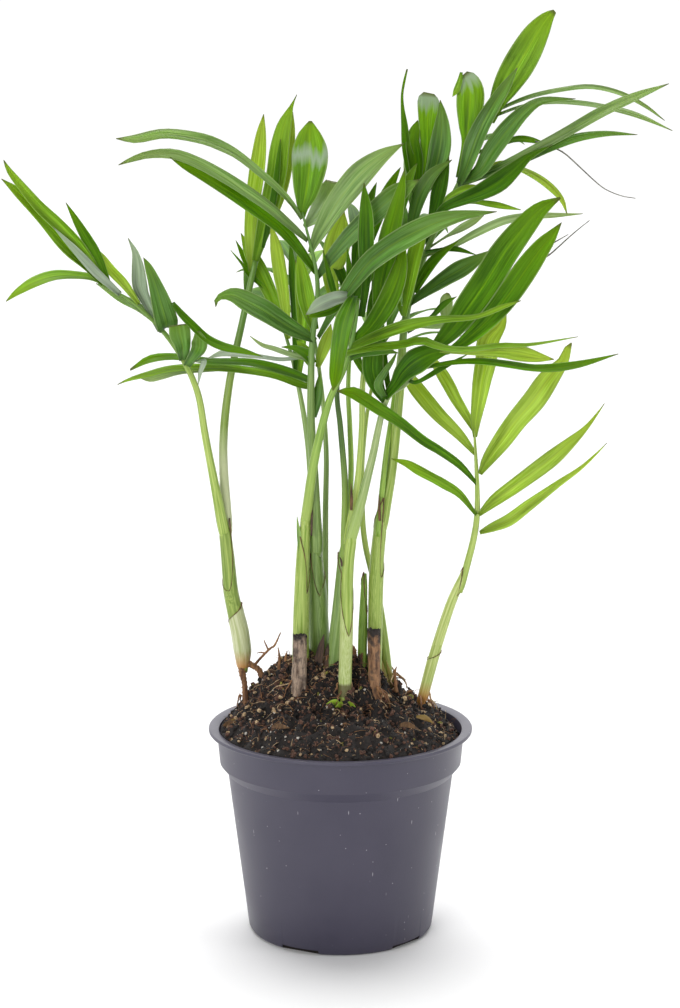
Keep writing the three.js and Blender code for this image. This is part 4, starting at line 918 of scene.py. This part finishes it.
def stem(name, stations, finish, sheaths):
    """A stem inside its old leaf sheaths, each open down one side with a dried edge."""
    line = curve_through(stations)
    shares = np.linspace(0, 1, 48)
    centres = along(line, shares)
    lean = unit(line[-1] - line[-8])
    body = Bundle()
    skins = [finish]
    # The last 5 mm close in round the foot of the petiole.
    closing = 0.7 + 0.3 * np.minimum(1, (centres[-1, 2] - centres[:, 2]) / (5 * MM))
    body.tube(rings_round(centres, station_radius(stations, centres[:, 2]) * closing, STEM_SIDES))
    for foot, low, high, low_side, high_side, left_power, right_power, stand_off, skin in sheaths:
        angle = angles_round(SHEATH_SIDES)
        mouth = mouth_height(angle, low, high, low_side, high_side, left_power, right_power) * MM
        rows = []
        for step in np.linspace(0, 1, 30):
            heights = foot * MM + (mouth - foot * MM) * step
            centre = np.stack([np.interp(heights, line[:, 2], line[:, i]) for i in (0, 1)], axis=-1)
            centre += np.maximum(0, heights - line[-1, 2])[:, None] * lean[:2] / lean[2]
            # A sheath stands further off its stem towards its mouth.
            radius = station_radius(stations, heights) + stand_off * MM * (0.35 + 0.65 * step)
            x, y = centre[:, 0] + radius * np.sin(angle), centre[:, 1] - radius * np.cos(angle)
            rows.append(np.stack([x, y, heights], axis=-1))
        outer = np.stack(rows)
        # Its skin turns in at the mouth, and half a millimetre down.
        middle = outer[-1].mean(axis=0)
        inward = outer[-1] + (middle - outer[-1]) * np.array([0.16, 0.16, 0.0]) - UP * 0.0005
        skins.append(skin)
        body.tube(np.concatenate([outer, inward[None]]), len(skins) - 1, closed=False)
        # The edge dries to a thin brown line, thicker towards its tip.
        rise = (mouth - mouth.min()) / (mouth.max() - mouth.min())
        lip = np.vstack([outer[-1], outer[-1][:1]])
        rise = np.append(rise, rise[0])
        thick = EDGE + EDGE_TIP * rise**3 + EDGE_UNEVEN * np.sin(np.arange(SHEATH_SIDES + 1) * 0.9)
        body.tube(rings_round(lip, thick * MM, 5, UP), len(sheaths) + 1)
    body.piece(name + "_sheathed", [STEM[skin] for skin in skins] + [HUSK], "stem", name)


for row in STEMS:
    stem(*row)


def stub(name, stations):
    """A dead, cut stem: furrowed bark with a ragged, rotted top."""
    line = curve_through(stations)
    shares = np.concatenate([np.linspace(0, 1, 40), np.full(4, 1.0)])
    centres = along(line, shares)
    centres[-4:, 2] += np.array([0.5, 0.2, -0.5, -0.9]) * MM
    radius = station_radius(stations, centres[:, 2])
    radius[-5:] *= np.array([1.02, 1.0, 0.86, 0.6, 0.25])
    sides = 30
    angle = angles_round(sides)
    turn, up = angle[None], shares[:, None]
    furrows = 0.05 * np.sin(7 * turn + 3 * up) + 0.03 * np.sin(13 * turn - 5 * up)
    knots = chance.normal(0, 0.028, (len(shares), sides))
    spread = radius[:, None] * (1 + furrows + knots)
    heading = unit(line[-1] - line[0])
    right = unit(np.cross(heading, FRONT))
    front = np.cross(right, heading)
    rings = centres[:, None] + spread[..., None] * (
        np.cos(angle)[None, :, None] * front + np.sin(angle)[None, :, None] * right)
    rings[-4:] += UP * chance.uniform(-0.9, 0.7, (1, sides, 1)) * MM
    body = Bundle()
    body.tube(rings)
    body.piece(name + "_bark", [BARK[name]], "stub", name)


for row in STUBS:
    stub(*row)

SCRAP_FINISHES = {
    "bract": BRACT,
    "flake": HUSK,
    "straw": STEM["straw"],
    "shoot": LEAF["glow"],
    "blade": LEAF["sheen"],
}
scraps = Bundle()
for kind, outline in SCRAPS:
    front_leaflet(scraps, FRONT, 0, outline, list(SCRAP_FINISHES).index(kind))
scraps.piece("dead_bracts_and_shoots", list(SCRAP_FINISHES.values()), "stem")

# ------------------------------------------------------------------ pot and soil

POT_HEIGHT, RIM, FLANGE = 0.095, 0.060, 0.0016
COLLAR, COLLAR_TAPER, COLLAR_HEIGHT = 0.0565, 0.0015, 0.016
SHOULDER, SHOULDER_HEIGHT, FOOT, WALL, FLOOR = 0.0514, 0.0045, 0.042, 0.0012, 0.0016
COLLAR_FOOT = POT_HEIGHT - COLLAR_HEIGHT
SHOULDER_FOOT = COLLAR_FOOT - SHOULDER_HEIGHT
# The box that cuts a drain notch, centred on the edge of the foot.
NOTCHES, NOTCH = 5, (0.018, 0.006, 0.0048)


def wall_radius(height):
    """Outer radius of the pot's wall at a height, without the flange."""
    return np.interp(height, [0, SHOULDER_FOOT, COLLAR_FOOT, POT_HEIGHT],
                     [FOOT, SHOULDER, COLLAR - COLLAR_TAPER, COLLAR])


# Moulded polypropylene: slate grey with a violet cast and a satin skin, whose sheen breaks up
# a little. Fine pale scuffs run down it and specks of dust lie on it.
def pot_finish():
    finish, tree = new_finish("moulded_polypropylene")
    place = add(tree, "TexCoord").outputs["Object"]
    cloud = add(tree, "TexNoise", {"Vector": place, "Scale": 35.0, "Detail": 4.0})
    colour = turning(tree, "#363344", "#3c3949", cloud, 0.35, 0.65)
    # Specks about half a millimetre across, one to two square centimetres.
    specks = add(tree, "TexVoronoi", {"Vector": place, "Scale": 340.0})
    dots = add(tree, "MapRange", {"Value": specks.outputs["Distance"], "From Min": 0.04, "From Max": 0.1,
                                  "To Min": 0.6, "To Max": 0.0})
    pick = add(tree, "SeparateColor", {0: specks.outputs["Color"]})
    rare = add(tree, "Math", {0: pick, 1: 0.78}, operation="GREATER_THAN")
    dust = add(tree, "Math", {0: dots, 1: rare}, operation="MULTIPLY")
    # Scuffs up to 3 mm long and a third of a millimetre wide.
    upright = add(tree, "Mapping", {"Vector": place, "Scale": (1, 1, 0.16)})
    scratches = add(tree, "TexVoronoi", {"Vector": upright, "Scale": 320.0})
    lines = add(tree, "MapRange", {"Value": scratches.outputs["Distance"], "From Min": 0.03,
                                   "From Max": 0.08, "To Min": 0.5, "To Max": 0.0})
    chosen = add(tree, "SeparateColor", {0: scratches.outputs["Color"]})
    few = add(tree, "Math", {0: chosen.outputs[1], 1: 0.5}, operation="GREATER_THAN")
    scuffs = add(tree, "Math", {0: lines, 1: few}, operation="MULTIPLY")
    marks = add(tree, "Math", {0: dust, 1: scuffs}, operation="MAXIMUM")
    colour = mix_colour(tree, marks, colour, "#c2bfc4")
    gloss = add(tree, "MapRange", {"Value": cloud, "From Min": 0.3, "From Max": 0.7, "To Min": 0.34,
                                   "To Max": 0.46})
    grain = add(tree, "TexNoise", {"Vector": place, "Scale": 1500.0, "Detail": 2.0})
    relief = add(tree, "Bump", {"Height": grain, "Strength": 0.15, "Distance": 0.0002})
    shade(tree, colour, gloss, relief, 1.49)
    return finish


# Peat, and the perlite and moss in it: dull and rough, in grains of two tones. Moist peat is near
# black with brown fibre in it.
def soil_finish(name, dark, light, scale=700.0):
    finish, tree = new_finish(name)
    place = add(tree, "TexCoord").outputs["Object"]
    grain = add(tree, "TexNoise", {"Vector": place, "Scale": scale, "Detail": 6.0, "Roughness": 0.75})
    colour = turning(tree, dark, light, grain, 0.42, 0.66)
    relief = add(tree, "Bump", {"Height": grain, "Strength": 1.0, "Distance": 0.0008})
    shade(tree, colour, 0.9, relief)
    return finish


PEAT = soil_finish("moist_peat", "#070504", "#231712", 1100.0)
CRUMBS = [
    soil_finish("peat_crumb_dark", "#070403", "#1d130e", 1400.0),
    soil_finish("peat_crumb_brown", "#351f17", "#7e5a48", 1400.0),
    soil_finish("peat_crumb_tan", "#9a7a56", "#e6cfa8", 1400.0),
]
GRIT = soil_finish("perlite_grit", "#b9b2a6", "#f1ece4")
MOSS = soil_finish("old_moss", "#5c5a22", "#a39a48")


def nursery_pot():
    """A pot drawn up from its foot ring by ring, over its flange and down inside. Its edges are
    eased by some tenths of a millimetre."""
    base = FOOT - 0.002
    profile = [(FOOT - 0.0006, 0.0006), (wall_radius(0.002), 0.002)]
    for height in (0.02, 0.04, 0.06, SHOULDER_FOOT):
        profile.append((wall_radius(height), height))
    profile += [
        (wall_radius(COLLAR_FOOT), COLLAR_FOOT),
        (wall_radius(POT_HEIGHT - FLANGE), POT_HEIGHT - FLANGE),
        (RIM - 0.0003, POT_HEIGHT - FLANGE),
        (RIM, POT_HEIGHT - FLANGE + 0.0004),
        (RIM, POT_HEIGHT - 0.0004),
        (RIM - 0.0004, POT_HEIGHT),
        (COLLAR - 0.0002, POT_HEIGHT - 0.0003),
        (COLLAR - WALL, POT_HEIGHT - 0.0008),
        (wall_radius(COLLAR_FOOT) - WALL, COLLAR_FOOT + 0.0006),
        (SHOULDER - WALL, SHOULDER_FOOT + 0.0006),
        (wall_radius(FLOOR) - WALL - 0.0005, FLOOR + 0.001),
        (wall_radius(FLOOR) - WALL - 0.0015, FLOOR),
    ]
    bpy.ops.object.select_all(action="DESELECT")
    bpy.ops.mesh.primitive_circle_add(vertices=128, radius=base, fill_type="NGON")
    pot = bpy.context.object
    pot.name = pot.data.name = "nursery_pot"
    bpy.ops.object.mode_set(mode="EDIT")
    bpy.ops.mesh.select_all(action="SELECT")
    radius, height = base, 0.0
    for new_radius, new_height in profile:
        bpy.ops.mesh.extrude_region_move(TRANSFORM_OT_translate={"value": (0, 0, new_height - height)})
        bpy.ops.transform.resize(value=(new_radius / radius, new_radius / radius, 1))
        radius, height = new_radius, new_height
    bpy.ops.mesh.select_all(action="SELECT")
    bpy.ops.mesh.normals_make_consistent(inside=False)
    bpy.ops.object.mode_set(mode="OBJECT")
    pot.data.materials.append(pot_finish())
    # Low notches round the foot let water out. Their cut faces take the near-black peat finish: painted
    # shade for the dark inside them.
    for i in range(NOTCHES):
        turn = (i - 0.36) * 2 * math.pi / NOTCHES
        bpy.ops.object.select_all(action="DESELECT")
        bpy.ops.mesh.primitive_cube_add(size=1, location=(FOOT * math.sin(turn), -FOOT * math.cos(turn), 0),
                                        rotation=(0, 0, turn), scale=NOTCH)
        notch = bpy.context.object
        notch.data.materials.append(PEAT)
        cut = pot.modifiers.new("drain", "BOOLEAN")
        cut.object = notch
        cut.operation = "DIFFERENCE"
        cut.material_mode = "TRANSFER"
        bpy.context.view_layer.objects.active = pot
        bpy.ops.object.modifier_apply(modifier=cut.name)
        bpy.data.objects.remove(notch)
    bpy.ops.object.select_all(action="DESELECT")
    pot.select_set(True)
    bpy.context.view_layer.objects.active = pot
    edge = pot.modifiers.new("edge", "BEVEL")
    edge.width = 0.00025
    edge.segments = 2
    edge.limit_method = "ANGLE"
    edge.angle_limit = math.radians(28)
    bpy.ops.object.modifier_apply(modifier=edge.name)
    bpy.ops.object.shade_smooth_by_angle(angle=math.radians(32))
    dress(pot, "pot")


nursery_pot()

# In millimetres: radius of the soil at the pot's wall and of its skin, and how far out crumbs
# and fibres lie on it; then its heights.
SOIL_RADIUS, SKIN_RADIUS, CRUMB_REACH, FIBRE_REACH = 54.8, 54.6, 54.0, 53.5
SOIL_EDGE, SOIL_RISE, SOIL_DIP, MOUND_RISE, LUMP = 93.5, 12, 5, 20, 0.9
MOUND_CENTRE, MOUND_SPREAD = (-10, 7), (33, 21)
# The soil's crumbled relief: waves of many lengths, each in its own direction.
RIPPLES = [
    (math.cos(a) * 2 * math.pi / w, math.sin(a) * 2 * math.pi / w, p, 0.05 * w)
    for a, w, p in zip(*(chance.uniform(low, high, 36) for low, high in ((0, math.pi), (1.6, 11), (0, 6.3))))
]


def wall_share(x, y):
    """Share of the way from the pot's middle to its wall."""
    return np.minimum(1, np.hypot(x, y) / SOIL_RADIUS)


def soil_height(x, y):
    """Height of the soil in millimetres: level at the wall but lower at the back right, a
    plateau, and a mound of roots."""
    share = wall_share(x, y)
    off = ((x - MOUND_CENTRE[0]) / MOUND_SPREAD[0]) ** 2 + ((y - MOUND_CENTRE[1]) / MOUND_SPREAD[1]) ** 2
    mound = MOUND_RISE * np.exp(-(off**2))
    lumps = LUMP * np.sin(0.36 * x + 1) * np.sin(0.41 * y + 2)
    dip = SOIL_DIP * np.clip((x + 0.6 * y - 2) / 40, 0, 1) * share**5
    return SOIL_EDGE + (SOIL_RISE + lumps + mound) * (1 - share**4) - dip


def crumbled(x, y):
    """Height of the soil with its crumbled relief, in millimetres."""
    share = wall_share(x, y)
    relief = sum(a * np.sin(kx * x + ky * y + p) for kx, ky, p, a in RIPPLES)
    return soil_height(x, y) + relief * (1.1 - 0.8 * share**6)


def soil_plug():
    """The soil's skin: rings from the middle to the wall, and a hidden plug below."""
    rings, sides = 60, 160
    body = Bundle()
    angle = angles_round(sides)
    radius = np.linspace(0.6, SKIN_RADIUS, rings)[::-1]
    x = radius[:, None] * np.sin(angle)[None]
    y = -radius[:, None] * np.cos(angle)[None]
    top = np.stack([x, y, crumbled(x, y)], axis=-1) * MM
    low = np.stack([x[0] * 0.9, y[0] * 0.9, np.full(sides, 70.0)], axis=-1) * MM
    wall = np.stack([x[0], y[0], np.full(sides, 90.0)], axis=-1) * MM
    body.tube(np.concatenate([low[None], wall[None], top]))
    body.piece("soil_surface", [PEAT], "soil", "soil")


soil_plug()

# A crumb is an icosahedron pulled out of true.
GOLD = (1 + 5**0.5) / 2
CRUMB_POINTS = unit(np.array([
    (-1, GOLD, 0), (1, GOLD, 0), (-1, -GOLD, 0), (1, -GOLD, 0), (0, -1, GOLD), (0, 1, GOLD),
    (0, -1, -GOLD), (0, 1, -GOLD), (GOLD, 0, -1), (GOLD, 0, 1), (-GOLD, 0, -1), (-GOLD, 0, 1)]))
CRUMB_FACES = np.array([
    (0, 11, 5), (0, 5, 1), (0, 1, 7), (0, 7, 10), (0, 10, 11), (1, 5, 9), (5, 11, 4), (11, 10, 2),
    (10, 7, 6), (7, 1, 8), (3, 9, 4), (3, 4, 2), (3, 2, 6), (3, 6, 8), (3, 8, 9), (4, 9, 5),
    (2, 4, 11), (6, 2, 10), (8, 6, 7), (9, 8, 1)])


def on_soil(count, heaped):
    """Random places on the soil, as x, y and z in millimetres. heaped is the share of them that
    gathers on the mound."""
    radius = np.sqrt(chance.uniform(0.0, CRUMB_REACH**2, count))
    angle = chance.uniform(0, 2 * math.pi, count)
    x, y = radius * np.sin(angle), radius * np.cos(angle)
    gathered = chance.random(count) < heaped
    x = np.where(gathered, chance.normal(MOUND_CENTRE[0] + 4, 19, count), x)
    y = np.where(gathered, chance.normal(MOUND_CENTRE[1] - 6, 13, count), y)
    far = np.hypot(x, y)
    tame = np.minimum(1, FIBRE_REACH / np.maximum(far, 1e-6))
    x, y = x * tame, y * tame
    return np.stack([x, y, crumbled(x, y)], axis=-1)


def scatter(name, count, sizes, finishes, shares, heaped, flat=1.0):
    """A piece of many crumbs, each sunk nearly to its middle in the soil."""
    places = on_soil(count, heaped)
    size = sizes[0] + (sizes[1] - sizes[0]) * chance.random(count) ** 2.2
    bundle = Bundle()
    picks = chance.choice(len(finishes), count, p=shares)
    for place, radius, pick in zip(places, size, picks):
        turn = chance.normal(size=(3, 3))
        turn, _ = np.linalg.qr(turn)
        if np.linalg.det(turn) < 0:
            turn[:, 0] = -turn[:, 0]
        stretch = chance.uniform(0.55, 1.3, 3) * np.array([1, 1, flat])
        shape = CRUMB_POINTS * chance.uniform(0.8, 1.2, (12, 1)) * stretch
        points = (shape @ turn.T) * radius + place + UP * radius * 0.2
        bundle.add(points * MM, CRUMB_FACES.tolist(), int(pick))
    bundle.piece(name, finishes, "soil", smooth=False)


scatter("peat_crumbs", 9700, (0.2, 1.25), CRUMBS, (0.56, 0.36, 0.08), heaped=0.35)
scatter("perlite_grit", 460, (0.18, 0.8), [GRIT], (1,), heaped=0.15)
scatter("moss_bits", 150, (0.4, 1.4), [MOSS, CRUMBS[2]], (0.5, 0.5), heaped=0.35, flat=0.5)


# A direction that no root or fibre runs along.
ASKEW = unit(np.array([0.31, -0.62, 0.72]))


def strand(bundle, start, heading, length, radius, slot, sides, steps, wander, sink):
    """A fibre or root that wanders from a point and comes to lie on the soil."""
    points = [np.array(start, float)]
    heading = unit(np.array(heading, float))
    for _ in range(steps):
        heading = unit(heading + chance.normal(0, wander, 3) * np.array([1, 1, 0.6]) - UP * sink)
        step = points[-1] + heading * length / steps
        far = math.hypot(step[0], step[1])
        ground = crumbled(step[0], step[1]) if far < CRUMB_REACH else SOIL_EDGE
        step[2] = max(step[2], ground - radius * 1.5)
        if far > FIBRE_REACH:
            break
        points.append(step)
    if len(points) < 4:
        return
    line = curve_through(points)
    shares = np.linspace(0, 1, steps * 2)
    radii = radius * (1 - 0.75 * shares**1.5) * MM
    bundle.tube(rings_round(along(line, shares), radii, sides, ASKEW), slot)


fibres = Bundle()
for place in on_soil(1300, heaped=0.5):
    angle = chance.uniform(0, 2 * math.pi)
    strand(fibres, place - UP * 0.2, (math.cos(angle), math.sin(angle), chance.uniform(0.1, 0.9)),
           chance.uniform(2, 9), chance.uniform(0.1, 0.22), int(chance.random() < 0.35), 4, 6, 0.45, 0.22)
fibres.piece("soil_fibres", [ROOT, CRUMBS[2]], "soil")

# Six old roots spread from the foot of every stem and stub and go down into the soil.
roots = Bundle()
for name, stations, *_ in STEMS + STUBS:
    x, y = stations[0][:2]
    ground = crumbled(x, y)
    for i in range(6):
        angle = chance.uniform(0, 2 * math.pi)
        start = np.array([x + 2.4 * math.sin(angle), y - 2.4 * math.cos(angle),
                          ground + chance.uniform(0.5, 5)])
        strand(roots, start, (math.sin(angle), -math.cos(angle), -0.2), chance.uniform(5, 15),
               chance.uniform(0.25, 0.6), int(chance.random() < 0.3), 7, 9, 0.35, 0.2)
for stations in ROOTS:
    line = curve_through(stations, 4)
    places = np.linspace(0, len(line) - 1, 30).astype(int)
    knots = 1 + 0.12 * np.sin(places * 0.7)
    roots.tube(rings_round(line[places, :3], line[places, 3] * knots, 9, ASKEW))
roots.piece("old_roots", [ROOT, CRUMBS[2]], "soil")

# ------------------------------------------------------------------ studio

# Painted white sweep: matt and even.
def paint_finish():
    finish, tree = new_finish("matt_white_paint")
    place = add(tree, "TexCoord").outputs["Object"]
    cloud = add(tree, "TexNoise", {"Vector": place, "Scale": 3.0})
    colour = mix_colour(tree, cloud, "#eeeeee", "#f0f0f0")
    shade(tree, colour, 0.9)
    return finish


bpy.ops.object.select_all(action="DESELECT")
bpy.ops.mesh.primitive_plane_add(size=12, location=(0, 0, 0))
floor = bpy.context.object
floor.name = "studio_floor"
floor.data.materials.append(paint_finish())


def lamp(name, kind, place, aim, power, **settings):
    """A light at a place, turned to its aim."""
    light = bpy.data.lights.new(name, kind)
    light.energy = power
    for setting, value in settings.items():
        setattr(light, setting, value)
    holder = bpy.data.objects.new(name, light)
    bpy.context.collection.objects.link(holder)
    holder.location = place
    way = np.array(aim, float) - np.array(place, float)
    tilt = math.atan2(math.hypot(way[0], way[1]), -way[2])
    holder.rotation_euler = (tilt, 0, math.atan2(way[0], -way[1]) + math.pi)


# A broad light overhead and a little behind, which shines through the leaves, and two soft ones,
# in front at the left and at the right.
lamp("overhead_light", "SUN", (-0.04, 0.42, 1.0), (0, 0, 0), 3.2, angle=math.radians(58))
lamp("front_softbox", "AREA", (-0.75, -1.35, 0.62), (0, 0, 0.2), 15, shape="RECTANGLE", size=0.9, size_y=0.9)
lamp("side_softbox", "AREA", (1.2, -0.5, 0.5), (0, 0, 0.2), 6, shape="RECTANGLE", size=0.5, size_y=1.1)

# White all round to look at. The room lights the plant more from behind than from the front, and
# shows brighter still in what is glossy.
world = bpy.data.worlds.new("white_studio")
bpy.context.scene.world = world
world.use_nodes = True
sky = world.node_tree
sky.nodes.clear()
direction = add(sky, "TexCoord")
axes = add(sky, "SeparateXYZ", {"Vector": direction.outputs["Generated"]})
room = add(sky, "MapRange", {"Value": axes.outputs[1], "From Min": -0.7, "From Max": 0.7, "To Min": 0.17,
                             "To Max": 0.52})
rays = add(sky, "LightPath")
shine = add(sky, "Math", {0: rays.outputs["Is Glossy Ray"], 1: 2.1}, operation="MULTIPLY")
gain = add(sky, "Math", {0: shine, 1: 1.0}, operation="ADD")
lit = add(sky, "Math", {0: room, 1: gain}, operation="MULTIPLY")
strength = add(sky, "Mix", {0: rays.outputs["Is Camera Ray"], 2: lit, 3: 1.05})
glow = add(sky, "Background", {"Strength": strength, "Color": (1, 1, 1, 1)})
add(sky, "OutputWorld", {"Surface": glow})

bpy.context.scene.view_settings.view_transform = "Standard"

# An 85 mm lens, a metre in front of the pot and 0.39 m up, tipped 10.5 degrees down.
lens = bpy.data.cameras.new("camera")
lens.lens = 85
lens.sensor_width = 36
camera = bpy.data.objects.new("camera", lens)
bpy.context.collection.objects.link(camera)
camera.location = (-0.0002, -1.049, 0.392)
camera.rotation_euler = (math.radians(90 - 10.5), 0, 0)
bpy.context.scene.camera = camera
